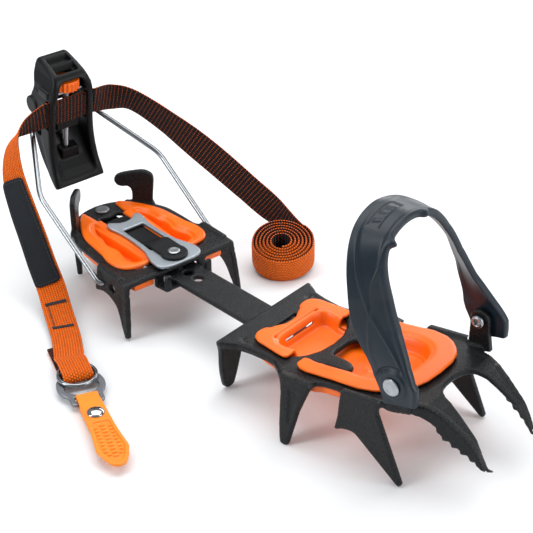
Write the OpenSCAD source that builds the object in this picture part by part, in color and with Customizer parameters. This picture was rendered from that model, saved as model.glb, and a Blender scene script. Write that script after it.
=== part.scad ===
// Semi-automatic 12-point crampon: toe basket in front, heel bail with lever behind.
// X forward to the toe, Y to the left, Z up. The origin is the middle of the front
// section's rear edge, on the face the boot sole rests on. Millimetres.

/* [Platforms] */
// Thickness of the steel sheet
steel_t = 3; // [2.8:0.1:3]
// Upward slope of the front section ahead of its bend, degrees
rocker = 10; // [9:0.5:11]
// Height of the ground below the sole face
point_h = 31.3; // [30:0.1:32]
// Half width of the front section's rear edge
front_hw = 34.4; // [33.6:0.1:35]

/* [Linking bar] */
// Width of the bar
bar_w = 20; // [19:0.5:20]
// Thickness of the bar
bar_t = 3; // [2.5:0.1:3]
// Distance between two adjusting holes
hole_pitch = 8.2; // [8:0.1:8.4]
// Diameter of an adjusting hole
hole_d = 5.4; // [5.2:0.1:5.6]

/* [Heel] */
// Heel section's lock rivet, distance behind the front section's rear edge
heel_x = -68.4; // [-70:0.1:-68]
// Thickness of the two orange heel plates' rims
rim_t = 1.2; // [0.8:0.1:1.2]
// Diameter of the bail wire
wire_d = 3; // [2.8:0.1:3]

/* [Toe basket] */
// Height of the basket's pivot above the sole face
pivot_z = 25.7; // [25:0.1:26.5]
// Thickness of the basket's band
band_t = 4; // [3.4:0.1:4]

/* [Strap] */
// Width of the webbing
web_w = 16; // [15:0.5:16]
// Thickness of the webbing
web_t = 1.6; // [1.4:0.1:1.6]

/* [Hidden] */
$fn = 48;

// Frames
heel_y = 6.3;
heel_z = 0.3;
heel_yaw = -9.4;
bar_yaw = -5.5;
bend_x = 45;                    // front section's bend
under_steel = -steel_t - 0.2;   // top of the parts that lie below the sheet

// Toe basket's pivot
pivot_x = 110;
toe_rivet_r = 2.5;
toe_bore_r = 1.6;
toe_rivet_y = 29.8;             // inner end
toe_hole_r = toe_rivet_r + 0.05;
toe_tab_y = 34;                 // tab's outer face

// Lock and rear rivet, heel frame; the lock rivet is at its origin
peg_x = 3;
peg_hole_r = 2.6;
peg_neck_r = 1.15;
rear_rivet_x = -68;
shank_r = 2.45;
shank_hole_r = shank_r + 0.05;

// Bail, heel frame
wire_r = wire_d / 2;
bail_x = -14.2;                 // pivot
bail_z = -7.4;
crossbar_x = -104;
crossbar_z = 46.3;
crossbar_hw = 20.2;

// Lever frame: origin on the crossbar's axis
lever_lean = 7.7;
screw_x = 3.9;
screw_r = 2;
screw_hole_r = screw_r + 0.05;
wheel_z = 21.4;                 // thumbwheel's underside
socket_z = 3.8;                 // floor of its hex socket above that
nut_r = 4;

// Colours that several pieces share
steel_black = [0.13, 0.14, 0.15];
orange = [1.0, 0.45, 0.02];
rivet_grey = [0.78, 0.8, 0.82];
dull_grey = [0.6, 0.62, 0.64];
wire_silver = [0.8, 0.82, 0.84];
bright_silver = [0.82, 0.84, 0.86];
web_orange = [0.95, 0.42, 0.05];
web_black = [0.16, 0.15, 0.15];

// ---------- helpers ----------
function unit(vector) = vector / norm(vector);
function reversed(list) = [for (i = [len(list) - 1 : -1 : 0]) list[i]];
// [x, y] outline of the left half, closed by its mirror image
function mirrored(half) =
  concat(half, [for (point = reversed(half)) if (abs(point[1]) > 0.001) [point[0], -point[1]]]);
module mirrored_polygon(half) { polygon(mirrored(half)); }

module both_sides() {
  children();
  mirror([0, 1, 0]) children();
}
// extrusions between two planes: outlines are [x, y], [x, z] and [y, z]
module along_z(z0, z1) { translate([0, 0, z0]) linear_extrude(z1 - z0) children(); }
module along_y(y0, y1) {
  translate([0, y1, 0]) rotate([90, 0, 0]) linear_extrude(y1 - y0) children();
}
module along_x(x0, x1) {
  translate([x0, 0, 0]) rotate([90, 0, 90]) linear_extrude(x1 - x0) children();
}
// upright cylinder on the middle plane, rising from z
module post(x, z, r, h) { translate([x, 0, z]) cylinder(r = r, h = h); }
// cylinder across the crampon, running left from y
module cross_pin(x, y, z, r, h) { translate([x, y, z]) rotate([-90, 0, 0]) cylinder(r = r, h = h); }

module heel_place() { translate([heel_x, heel_y, heel_z]) rotate([0, 0, heel_yaw]) children(); }
module bar_place() { translate([heel_x, heel_y, 0]) rotate([0, 0, bar_yaw]) children(); }
// slope of the front section ahead of its bend
module tilt() {
  translate([bend_x, 0, 0]) rotate([0, -rocker, 0]) translate([-bend_x, 0, 0]) children();
}
module lever_place() {
  heel_place() translate([crossbar_x, 0, crossbar_z]) rotate([0, lever_lean, 0]) children();
}

// ---------- front section ----------
// half outlines and half openings behind and ahead of the bend
rear_half = [[0, 0], [0, front_hw - 1], [1, front_hw], [5, front_hw], [9, 31.6], [28, 29],
  [34, 30], [39, 33.5], [43.5, 37.5], [bend_x, 37.8], [bend_x, 0]];
rear_opening = [[20.5, 0], [20.5, 21], [24, 23.4], [31, 23.6], [37, 22], [39.4, 19.5],
  [41, 16], [43, 9], [43.5, 0]];
fore_half = [[bend_x - 0.6, 0], [bend_x - 0.6, 37.7], [60, 37.8], [62.5, 34.6], [66, 32.8],
  [76, 32.8], [80, 34.2], [120, 34.2], [120, 27], [117.5, 9], [116.6, 6], [116.6, 0]];
fore_opening = [[53.5, 0], [53, 6], [54, 8.5], [61, 9.5], [66.5, 11], [70, 13.8], [70, 17.3],
  [66, 18.8], [56, 18.2], [49.5, 21.4], [52.5, 26], [60, 25.5], [68, 24.4], [80, 24.6],
  [92, 23], [100, 17], [103, 8], [103, 0]];

// front point's top web: side view [x, z] and plan [x, y]
web_side = [[112, 11.3], [120, 12.2], [126, 10.8], [132, 7.3], [138, 3.2], [143, -0.4],
  [146, -4.6], [150.8, -12.4], [149.2, -12.2], [143.5, -5], [140.5, -2.2], [136, 1.2],
  [130, 5.2], [124.5, 8.2], [119, 9.2], [112, 8.3]];
web_plan = [[112, 9], [116.8, 10], [119, 13.2], [126, 14], [132, 15], [138.4, 16],
  [143.6, 17], [151, 17.6], [151, 18.4], [145.7, 19.4], [139, 21], [133.8, 22.6],
  [126.8, 24.6], [120, 26.6], [112, 28.6]];
// serrated flange on the web's outer side, [x, z]
flange_side = [[107.5, 8.6], [113, 11.1], [120.2, 12.2], [126.3, 10.8], [132.5, 7.3],
  [138.6, 3.2], [143.8, -0.4], [146.9, -4.6], [151.8, -12.4], [148.4, -11], [145.6, -8.6],
  [143.2, -6.6], [140.2, -6.2], [139.4, -4.6], [136, -4.1], [135, -2.2], [131.4, -1.8],
  [130.4, 0.2], [126.8, 0.4], [125.6, 3], [122.4, 4.9], [118, 6.2], [113.5, 6.2], [108.8, 4.8]];
flange_x = 112;
flange_yaw = -12.6;
flange_t = 2.8;

module front_point() {
  intersection() {
    along_y(8, 30) polygon(web_side);
    along_z(-20, 20) polygon(web_plan);
  }
  translate([flange_x, 26.2, 0]) rotate([0, 0, flange_yaw]) translate([-flange_x, 0, 0])
    along_y(0, flange_t) polygon(flange_side);
}

module third_point() {
  inner_y = 33.4;
  along_y(inner_y, inner_y + steel_t) polygon([[80.4, 6.2], [78.4, 1], [77.6, -8],
    [76.4, -15.6], [77.2, -16.6], [81.8, -14], [86.4, -13.4], [90.6, -15.4],
    [113.4, -point_h], [115.4, -point_h], [116, -30.3], [99.6, 5], [100.6, 8.4], [103, 10.2]]);
}

module second_point() {
  inner_y = -1.2;
  splay = 15;
  translate([0, 36.2, 1.2]) rotate([splay, 0, 0]) along_y(inner_y, inner_y + steel_t)
    polygon([[44.6, -1.2], [62.2, 1.6], [60.8, -3], [57.6, -14], [55.2, -33.6],
      [53.2, -33.6], [50.6, -26], [46.2, -8]]);
}

module rear_point() {
  along_x(0, steel_t) polygon([[16.5, -0.5], [17, -6], [21.6, -22], [24.2, -29],
    [25.8, -point_h], [31, -point_h], [32.4, -28.6], [34, -21], [front_hw, -0.5]]);
}

// upright tab that carries the basket's pivot
module toe_tab() {
  along_y(toe_tab_y - steel_t, toe_tab_y) union() {
    polygon([[105, 8.6], [116.6, 10.6], [115.2, pivot_z], [104.8, pivot_z]]);
    translate([pivot_x, pivot_z]) circle(r = 5.4);
  }
}

module front_platform() color(steel_black) difference() {
  union() {
    along_z(-steel_t, 0) difference() {
      mirrored_polygon(rear_half);
      mirrored_polygon(rear_opening);
    }
    tilt() along_z(-steel_t, 0) difference() {
      mirrored_polygon(fore_half);
      mirrored_polygon(fore_opening);
    }
    both_sides() {
      front_point();
      third_point();
      second_point();
      rear_point();
      toe_tab();
    }
  }
  // slot that takes the linking bar's hook
  along_z(-5, 3) mirrored_polygon([[14.6, 9.4], [18.8, 9.4]]);
  both_sides() along_y(29, 36) translate([pivot_x, pivot_z]) circle(r = toe_hole_r);
  // clear space below the sheet for the linking bar
  translate([-6, -13, -12]) cube([30, 26, 12 - steel_t]);
}

// deep snow plate of the front section: raised rim above the steel, tray below it
tray_z = -7.6;
tray_floor_z = -6;
lip_z = -6.4;
rim_z = 0.2;
rim_top_z = 2.4;
rear_rim_outer = [[19, 0], [16, 9.6], [16, 11], [13.6, 13], [13, 19.5], [14.4, 22.6],
  [18, 24.8], [26, 25.4], [33, 26.4], [36.6, 26.6], [39.2, 24], [39.2, 19.6]];
rear_rim_inner = [[22.4, 0], [22.4, 15.6], [38, 18.6], [39.5, 18.8]];
fore_rim = [[44.4, 20.6], [44.2, 23], [44.6, 27], [50, 30], [58, 30.6], [70, 30.2], [84, 31],
  [95, 29.2], [104, 24], [109.5, 17.6], [111.6, 9], [112, 0], [98, 0], [97, 9], [93, 16.6],
  [84, 20.4], [70, 20.2], [56, 21.4], [49, 21.8], [46, 20.4]];
fore_wall = [[54, 21.6], [70, 20.4], [84, 20.6], [93.4, 16.8], [97.4, 9], [98.4, 0],
  [100.6, 0], [99.6, 10], [94.6, 18.6], [84.6, 22.8], [70, 22.6], [54, 23.6]];

module front_antiball_plate() color(orange) {
  difference() {
    union() {
      both_sides() along_z(rim_z, rim_top_z)
        polygon(concat(rear_rim_outer, reversed(rear_rim_inner)));
      // rear wall, floor and side walls
      along_z(tray_z, rim_top_z) mirrored_polygon([[20.8, 16], [23.4, 16]]);
      along_z(tray_z, tray_floor_z) mirrored_polygon([[20.8, 20], [50, 20]]);
      both_sides() along_z(tray_z, rim_top_z) polygon([[20.8, 15.6], [24, 18.6], [37.4, 18.8],
        [37.4, 20.6], [24, 21.2], [20.8, 19.8]]);
    }
    // cross slot in the rear wall
    translate([18, -11, -3.4]) cube([8, 22, 2]);
  }
  tilt() {
    both_sides() along_z(rim_z, rim_top_z) polygon(fore_rim);
    both_sides() along_z(tray_z, rim_top_z) polygon(fore_wall);
    along_z(tray_z, tray_floor_z) mirrored_polygon([[48, 21], [84, 21], [94, 17], [99, 0]]);
  }
  // lower lip that clips under the steel
  both_sides() along_z(lip_z, under_steel)
    polygon([[24, 19.8], [24, 27], [34, 27.4], [41, 28.6], [41, 19.8]]);
  tilt() both_sides() along_z(lip_z, under_steel)
    polygon([[64, 22.4], [64, 29.5], [80, 30.4], [96, 28], [96, 18.4], [86, 22.4]]);
}

module linking_bar() color([0.15, 0.16, 0.17]) bar_place() difference() {
  union() {
    along_z(under_steel - bar_t, under_steel)
      mirrored_polygon([[-38, 7], [-35, bar_w / 2], [82, bar_w / 2], [88, 8]]);
    // hook that stands up in the front section's slot
    along_z(-4, 0.1) mirrored_polygon([[84.6, 7.4], [86.4, 7.4]]);
  }
  // seven adjusting holes, the third from the front at the peg
  for (i = [0 : 6]) translate([peg_x + hole_pitch * (2 - i), 0, -8]) cylinder(d = hole_d, h = 8);
}

// hollow-ended shank, outer head and inner ring on each side
module toe_rivets() color(rivet_grey) both_sides() {
  difference() {
    cross_pin(pivot_x, toe_rivet_y, pivot_z, toe_rivet_r, 10);
    cross_pin(pivot_x, toe_rivet_y - 0.8, pivot_z, toe_bore_r, 4);
  }
  cross_pin(pivot_x, 39.1, pivot_z, 4.1, 0.9);
  difference() {
    cross_pin(pivot_x, toe_rivet_y, pivot_z, 3.4, 0.9);
    cross_pin(pivot_x, toe_rivet_y - 1, pivot_z, toe_bore_r, 3);
  }
}

// ---------- toe basket ----------
// middle line of the band seen from the front, [y, z]
arch = [[-36.4, 12], [-36.4, 30], [-37, 46], [-37.4, 62], [-36.2, 77], [-32, 87.5],
  [-24.5, 94], [-13, 96.6], [0, 94], [10.5, 87.6], [20, 78], [27, 66], [31.6, 53],
  [35, 39.5], [36.4, 30], [36.4, 12]];
// side view of the band, [x, z]
basket_side = [[104.4, 14], [101.5, 21], [97, 29], [92, 38], [88, 46.5], [84.5, 58],
  [82.4, 70], [79.6, 83], [76, 100], [97, 100], [99.6, 88], [103, 77], [106.5, 67],
  [110.5, 56], [115.4, 45], [119.6, 35], [121.8, 28], [122.6, 19]];

// direction of a run of points at point i, taken between its neighbours
function run_dir(points, i) = unit(points[min(i + 1, len(points) - 1)] - points[max(i - 1, 0)]);
function normal_at(points, i) = let(dir = run_dir(points, i)) [-dir[1], dir[0]];
function shifted(points, distance) =
  [for (i = [0 : len(points) - 1]) points[i] + normal_at(points, i) * distance];

module toe_basket() color([0.15, 0.18, 0.21]) difference() {
  intersection() {
    along_x(60, 140)
      polygon(concat(shifted(arch, band_t / 2), reversed(shifted(arch, -band_t / 2))));
    along_y(-50, 50) polygon(basket_side);
  }
  both_sides() cross_pin(pivot_x, 30, pivot_z, toe_hole_r, 14);
  // flats inside and outside the band's lower ends
  both_sides() translate([95, 30, 0]) cube([40, 4.3, 34]);
  both_sides() translate([95, 39.3, 0]) cube([40, 6, 34]);
}

// ---------- heel section ----------
heel_half = [[6, 0], [6, 33.6], [4.5, 34.8], [-16, 35.2], [-25, 33.5], [-33, 32.5],
  [-42, 32], [-50, 31], [-58, 27.8], [-64, 23.6], [-70, 17], [-74, 10], [-75.6, 0]];
heel_opening = [[-3.5, 0], [-3.5, 18], [-7, 22.5], [-16, 25], [-30, 23.4], [-44, 22.4],
  [-54, 20], [-61, 14], [-62.5, 7], [-61.5, 0]];

module heel_point() {
  splay = 5;
  translate([0, 33.6, 0]) rotate([splay, 0, 0]) difference() {
    along_y(0, steel_t) polygon([[-21, -0.8], [-21.6, -13.6], [-20.8, -14.8], [-14, -12.6],
      [-7, -13.4], [-0.6, -17], [3.5, -25.6], [6.6, -31.8], [9.4, -31.8], [8.2, -20], [6, -0.8]]);
    along_y(-2, 6) translate([-6.2, -7.4]) circle(r = 2.3);
  }
}

// sheet standing along the slanting rear corner, from an [x, z] outline
module corner_sheet(outline) {
  translate([-57, 27.6, 0]) rotate([0, 0, 42]) translate([0, -2.4, 0])
    along_y(0, steel_t) polygon(outline);
}
rear_point_side = [[-15.5, -1], [0, -1], [-1.6, -9], [-7.4, -31.6], [-9.8, -31.6], [-13.4, -14]];
heel_tab_side = [[0, -1.2], [1.2, 16.6], [-0.6, 20.2], [-5, 21.8], [-14, 20.2], [-19.6, 18.2],
  [-21.6, 15.8], [-21.4, 12.4], [-18.6, 10.8], [-14.4, 11], [-12.4, 9.4], [-11.6, 6.5],
  [-12, -1.2]];

module heel_platform() color(steel_black) heel_place() difference() {
  hanger_z = -9.4;
  union() {
    along_z(-steel_t, 0) difference() {
      mirrored_polygon(heel_half);
      mirrored_polygon(heel_opening);
    }
    both_sides() {
      heel_point();
      corner_sheet(rear_point_side);
      corner_sheet(heel_tab_side);
    }
    // hanger that carries the linking bar
    both_sides() along_z(hanger_z, -0.2) polygon([[5, 11.8], [13, 11.8], [13, 14.6], [5, 15.6]]);
    along_z(hanger_z, -6.9) mirrored_polygon([[6, 14], [13, 14]]);
  }
  both_sides() cross_pin(bail_x, 30, bail_z, wire_r + 0.06, 12);
  post(rear_rivet_x, -6, shank_hole_r, 8);
  post(peg_x, -6, peg_hole_r, 8);
}

// orange heel plate, left side: rim, well and lower lip
heel_rim = [[-69, 9.6], [-66, 13.4], [-60, 18.8], [-54, 22.6], [-46, 26.2], [-35, 27.8],
  [-27, 28.8], [-21, 29.8], [-14, 30.2], [-8, 28], [-5, 24], [-4, 18], [-4.6, 12.6],
  [-9, 14.8], [-26, 15.4], [-44, 15], [-58, 12.6], [-64, 9.6]];
well_outer = [[-4.2, 17.6], [-7.4, 22], [-16, 24.6], [-30, 23], [-44, 22], [-53, 19.6],
  [-58, 14.6], [-4.2, 14.6]];
well_inner = [[-8, 17.4], [-10, 20.4], [-16, 22.6], [-30, 21], [-44, 20], [-52, 17.8],
  [-54, 16.2], [-8, 16.2]];
heel_lip = [[4.4, 16.6], [4, 29.4], [-10, 29.8], [-30, 30.4], [-44, 29.4], [-53, 25.4],
  [-53, 19.6], [-44, 22], [-30, 23], [-16, 24.6], [-7.4, 22], [-4.2, 16.6]];

module heel_antiball() {
  rim_z = 0.15;
  well_z = -7.4;
  along_z(rim_z, rim_z + rim_t) polygon(heel_rim);
  difference() {
    along_z(well_z, rim_z + rim_t) polygon(well_outer);
    along_z(-5.8, 4) polygon(well_inner);
  }
  along_z(well_z, under_steel) polygon(heel_lip);
}
module heel_antiball_left() color(orange) heel_place() heel_antiball();
module heel_antiball_right() color(orange) heel_place() mirror([0, 1, 0]) heel_antiball();

// upper head, shank and lower head
module rear_rivet() color(rivet_grey) heel_place() {
  post(rear_rivet_x, 0.05, 3.9, 1.3);
  post(rear_rivet_x, -9, shank_r, 9.3);
  post(rear_rivet_x, -9.2, 4.2, 1.2);
}

// ---------- lock ----------
// side view of the spring leaf, [x, z]
leaf_side = [[-75, -5.4], [-59, -5.4], [-53, -0.6], [-20, -0.4], [-13, 3.4], [0, 3.4],
  [0, 4.8], [-14, 4.8], [-21, 1.0], [-54, 0.8], [-60, -4], [-75, -4]];
module lock_spring_leaf() color([0.12, 0.12, 0.13]) heel_place() difference() {
  union() {
    along_y(-7, 7) polygon(leaf_side);
    post(0.2, 3.4, 7.6, 1.4);
  }
  post(rear_rivet_x, -8, 3.4, 8);
  post(0, 0, shank_hole_r, 9);
  post(peg_x, -2, peg_neck_r + 0.05, 8);
}

lock_lever_half = [[-44.6, 0], [-45.6, 4.6], [-49, 9], [-47.6, 11], [-44, 11.2], [-34, 9.6],
  [-22, 9.7], [-12, 10.9], [-3, 13.8], [4.4, 14.1], [7.6, 12], [8.8, 7], [9, 0]];
module lock_lever_plate() color([0.72, 0.74, 0.76]) heel_place() difference() {
  along_z(1.5, 3.3) difference() {
    mirrored_polygon(lock_lever_half);
    mirrored_polygon([[-38, 6.6], [-10.6, 7.3]]);
  }
  post(0, -2, shank_hole_r, 9);
  post(peg_x, -2, peg_hole_r, 9);
}

module lock_rivet() color(rivet_grey) heel_place() {
  post(0, 4.85, 3.3, 0.9);
  post(0, 0.2, shank_r, 4.9);
}

// locking peg: stands in one of the bar's holes, cut away round the lock rivet
module lock_peg() color(dull_grey) heel_place() difference() {
  union() {
    post(peg_x, -6.6, 2.35, 7.6);
    post(peg_x, 0.9, peg_neck_r, 3.6);
  }
  post(0, -0.2, shank_hole_r, 9);
}

// ---------- bail and lever ----------
module rod(start, end, radius) {
  run = end - start;
  length = norm(run);
  translate(start) rotate([0, acos(run[2] / length), atan2(run[1], run[0])])
    cylinder(r = radius, h = length);
}

// left half of the bail wire, from the pivot's inner end up to the crossbar
bail_path = [[bail_x, 33, bail_z], [bail_x, 39.4, bail_z], [-67, 40.4, 24.3],
  [crossbar_x, crossbar_hw, crossbar_z]];
module heel_bail() color(wire_silver) heel_place() {
  both_sides() for (i = [1 : 3]) {
    rod(bail_path[i - 1], bail_path[i], wire_r);
    translate(bail_path[i]) sphere(r = wire_r + 0.06);
  }
  rod([crossbar_x, -crossbar_hw, crossbar_z], bail_path[3], wire_r);
}

// block on the crossbar that the screw passes through
module bail_nut_block() color([0.2, 0.2, 0.21]) lever_place() difference() {
  along_y(-7, 7) polygon([[-2.9, -1], [-1.1, -4], [6.6, -4], [6.6, 4], [-2.9, 4]]);
  cross_pin(0, -20, 0, wire_r + 0.05, 40);
  post(screw_x, -10, screw_hole_r, 20);
}

// lever body: an open channel with a cap above and a scoop below
// side views of the body and of its hollow, [x, z]
lever_outer = [[20.8, -33], [16, -24], [12, -12], [10.4, 0], [10.6, 12], [11.2, 22], [9, 30.4],
  [2.5, 33.6], [-5, 35.6], [-11.4, 35.2], [-11.8, 28], [-8, 21], [-9.4, 16], [-10.4, 8],
  [-9, 0], [-5.6, -9], [1.6, -20], [10.6, -29], [18.4, -34.6]];
lever_hollow = [[40, -27], [18.4, -30.4], [12, -26.4], [4.4, -17.6], [-2.4, -8.4], [-5.6, 0],
  [-6.8, 9], [-6, 15.5], [-5, 21.6], [-5.4, 31], [6, 29.6], [40, 21.4]];
// rear view: [half width, z]
lever_widths = [[16.6, -36], [15.8, -24], [15.2, -8], [14.8, 16], [13.2, 24], [11, 30], [9.2, 37]];
lever_wall = 2.6;

module lever_rear_view(inset) {
  left = [for (point = lever_widths) [point[0] - inset, point[1]]];
  polygon(concat(left, [for (point = reversed(left)) [-point[0], point[1]]]));
}

module heel_lever() color([0.11, 0.11, 0.12]) lever_place() difference() {
  union() {
    difference() {
      intersection() {
        along_y(-20, 20) polygon(lever_outer);
        along_x(-20, 30) lever_rear_view(0);
      }
      intersection() {
        along_y(-20, 20) polygon(lever_hollow);
        along_x(-20, 50) lever_rear_view(lever_wall);
      }
    }
    // lower bearing of the screw
    translate([-1, -6, -24]) cube([10, 12, 5]);
    // shelf under the thrust plate
    for (side = [-1, 1]) translate([-7.5, side * 10.2 - 2.6, 17.6]) cube([15.5, 5.2, 2.2]);
  }
  post(screw_x, -40, screw_hole_r, 60);
  // slots for the bail's crossbar, long enough for the height adjustment
  along_y(-20, 20) polygon([[-2, -7.2], [2, -7.2], [2, 7.2], [-2, 7.2]]);
  // slots for the strap
  translate([6.6, -20, 0.5]) cube([2.2, 40, 17.4]);
}

module thrust_plate() color(bright_silver) lever_place() difference() {
  translate([-2, -8.6, 19.9]) cube([9.6, 17.2, 1.4]);
  post(screw_x, 10, screw_r + 0.15, 20);
}

module adjuster_screw() color([0.7, 0.72, 0.74]) lever_place() post(screw_x, -23.5, screw_r, 51.6);

// ribbed wheel with a hex socket on top
module thumbwheel() color(orange) lever_place() translate([screw_x, 0, wheel_z]) difference() {
  union() {
    cylinder(r = 7.2, h = 5.8);
    for (angle = [0 : 20 : 340]) rotate([0, 0, angle]) translate([7.1, 0, 0.4])
      cylinder(r = 0.7, h = 5, $fn = 16);
  }
  post(0, -1, screw_r, 10);
  translate([0, 0, socket_z]) cylinder(r = nut_r + 0.06, h = 4, $fn = 6);
}

module hex_nut() color(wire_silver) lever_place()
  translate([screw_x, 0, wheel_z + socket_z + 0.05]) difference() {
    cylinder(r = nut_r, h = 2.6, $fn = 6);
    post(0, -1, screw_r, 6);
  }

module strap_lever_section() color(web_black) lever_place()
  translate([6.9, -14.2, 1.4]) cube([web_t, 28.4, web_w]);

// ---------- strap tails ----------
slice_len = 0.6;                // length of one slice; hulls of neighbours make the strap
// tail on the -Y side; each station: centre, direction of the webbing's width
left_run = [
  [[-165.6, 3.6, 55], [0.13, 0, 0.99]],
  [[-166.6, -11.4, 51], [0.6, -0.34, 0.72]],
  [[-164.3, -19.7, 43], [0.9, -0.1, 0.43]],
  [[-158.9, -25.2, 31], [0.84, 0.3, 0.45]],
  [[-138.5, -32.0, 4], [0.74, 0.56, 0.34]],
  [[-123.4, -36.3, -20], [0.68, 0.7, 0.2]],
  [[-91.8, -54.3, -29.5], [0.53, 0.85, 0]],
  [[-70.1, -70.9, -29.5], [0.469, 0.883, 0]]];
left_centres = [for (station = left_run) station[0]];
// tail on the +Y side; each station: centre, yaw of the run, lean of the width from upright
right_run = [
  [[-161.4, 43.4, 56], 82, -2],
  [[-156, 60, 50], 45, -16],
  [[-134, 71, 36], 10, -28],
  [[-108, 76, 23], 8, -26],
  [[-84, 88, 2], 20, -14],
  [[-68, 97.5, -12], 4, -6],
  [[-55, 98.8, -18], -6, -2]];

// slice across the webbing; out shifts it off the webbing's middle plane, outward
module web_slice(centre, width_dir, dir, width = web_w, thickness = web_t, out = 0) {
  across = unit(width_dir - (width_dir * dir) * dir);
  inward = cross(across, dir);
  multmatrix([
    [dir[0], inward[0], across[0], centre[0]],
    [dir[1], inward[1], across[1], centre[1]],
    [dir[2], inward[2], across[2], centre[2]],
    [0, 0, 0, 1]])
    translate([0, -out, 0]) cube([slice_len, thickness, width], center = true);
}
module left_strip(first, last, width = web_w, thickness = web_t, out = 0) {
  for (i = [first : last - 1]) hull() for (j = [i, i + 1])
    web_slice(left_centres[j], left_run[j][1], run_dir(left_centres, j), width, thickness, out);
}

module strap_left_tail() color(web_orange) left_strip(0, len(left_run) - 1);

// sewn label: a thin patch on the outer face of the -Y tail
module label_patch() color([0.1, 0.11, 0.12])
  left_strip(3, 5, width = web_w - 1, thickness = 0.8, out = 1.4);

// two bars across the -Y tail, at fractions of the way between stations 5 and 6
module bar_tack_stitching() color([0.08, 0.08, 0.09]) {
  start = left_run[5];
  end = left_run[6];
  for (part = [0.37, 0.8])
    web_slice(start[0] + (end[0] - start[0]) * part, start[1] * (1 - part) + end[1] * part,
      unit(end[0] - start[0]), width = 11, thickness = 0.6, out = 1.3);
}

module strap_right_tail() color(web_black)
  for (i = [0 : len(right_run) - 2]) hull() for (j = [i, i + 1])
    translate(right_run[j][0]) rotate([0, 0, right_run[j][1]]) rotate([right_run[j][2], 0, 0])
      cube([slice_len, web_t, web_w], center = true);

module strap_coil() color(web_orange) translate([-52, 77.6, -20.4]) rotate([11, 8, 0]) difference() {
  cylinder(r = 17.6, h = web_w, center = true);
  cylinder(r = 4, h = 40, center = true);
}

// ---------- buckle ----------
module buckle_place() { translate([-56.3, -78.2, -27.6]) rotate([0, 0, -28]) children(); }
tab_rivet_x = 32.4;

// folded end of the webbing: open at both sides, it holds the ring and the rear bar of the plate
module strap_loop() color(web_orange) buckle_place() difference() {
  half_width = web_w / 2 - 0.7;
  along_y(-half_width, half_width) polygon([[-14, -2.9], [-13, -3.5], [0.6, -3.5], [1.5, -2.6],
    [1.5, 3], [0.6, 4], [-13, 4], [-14, 3.4]]);
  along_y(-20, 20) polygon([[-13.6, -2.1], [0.3, -2.1], [0.3, 2.7], [-13.6, 2.7]]);
}

module buckle_plate() color(dull_grey) buckle_place() along_z(-1.9, -0.1) difference() {
  mirrored_polygon([[-4.2, 0], [-4.2, 7.9], [-3.2, 8.3], [-3, 10.4], [2.4, 12.4], [8, 12],
    [11, 10.6], [13.5, 8.8], [18.8, 8.6], [20.4, 7], [20.4, 0]]);
  // rear, middle and front openings
  mirrored_polygon([[-1.6, 0], [-1.6, 8.6], [1.6, 8.6], [1.6, 0]]);
  mirrored_polygon([[4, 0], [4, 8], [5.6, 8.9], [8, 8.2], [10.4, 6.6], [12, 4], [12.4, 0]]);
  mirrored_polygon([[14.2, 0], [14.2, 6.2], [17.8, 6.2], [17.8, 0]]);
}

// round wire ring
module buckle_ring() color(bright_silver) buckle_place()
  translate([-2.4, 0, 1.3]) rotate_extrude() translate([9.6, 0]) circle(r = 1.15);

// tab folded round the plate's front bar: upper layer, fold and lower layer, filling
module pull_tab() color([1.0, 0.62, 0.05]) buckle_place() difference() {
  union() {
    along_z(0.6, 2) mirrored_polygon([[15.4, 0], [15.4, 5.6], [26, 5.9], [33, 6.1], [44, 6.4],
      [62, 8.2], [64, 8], [71.5, 4.6], [74, 3.4], [75.2, 2], [75.4, 0]]);
    along_y(-5.6, 5.6)
      polygon([[15.4, 2], [15.4, -3.6], [40, -3.6], [40, -2.7], [16.6, -2.7], [16.6, 2]]);
    along_y(-5.6, 5.6) polygon([[21.4, -3.6], [38, -3.6], [40, -2.7], [41.5, 1], [21.4, 1]]);
  }
  post(tab_rivet_x, -6, 2, 10);
}

// shank and domed head
module tab_rivet() color([0.85, 0.87, 0.89]) buckle_place() translate([tab_rivet_x, 0, 0]) {
  post(0, -3.6, 1.95, 5.8);
  intersection() {
    post(0, 2.05, 4.4, 3);
    translate([0, 0, -2.5]) sphere(r = 6.4);
  }
}

front_platform();
front_antiball_plate();
linking_bar();
toe_rivets();
heel_platform();
heel_antiball_left();
heel_antiball_right();
rear_rivet();
lock_spring_leaf();
lock_lever_plate();
lock_rivet();
lock_peg();
toe_basket();
heel_bail();
bail_nut_block();
heel_lever();
thrust_plate();
strap_lever_section();
adjuster_screw();
thumbwheel();
hex_nut();
strap_left_tail();
label_patch();
bar_tack_stitching();
strap_loop();
strap_right_tail();
strap_coil();
buckle_plate();
buckle_ring();
pull_tab();
tab_rivet();
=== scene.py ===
"""A strap-on crampon: steel front and heel platforms with points, orange snow plates, a toe
basket, and a heel lever on a wire bail with webbing and a buckle.

Measures are in mm until `put` turns them into metres. World +X points to the toe, +Y to the
wearer's left and +Z up; the platforms' upper faces lie near Z = 0. Heel, lever and buckle are
drawn in frames of their own. The strap pieces named "left" lie on the -Y side.
"""
import math

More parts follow.
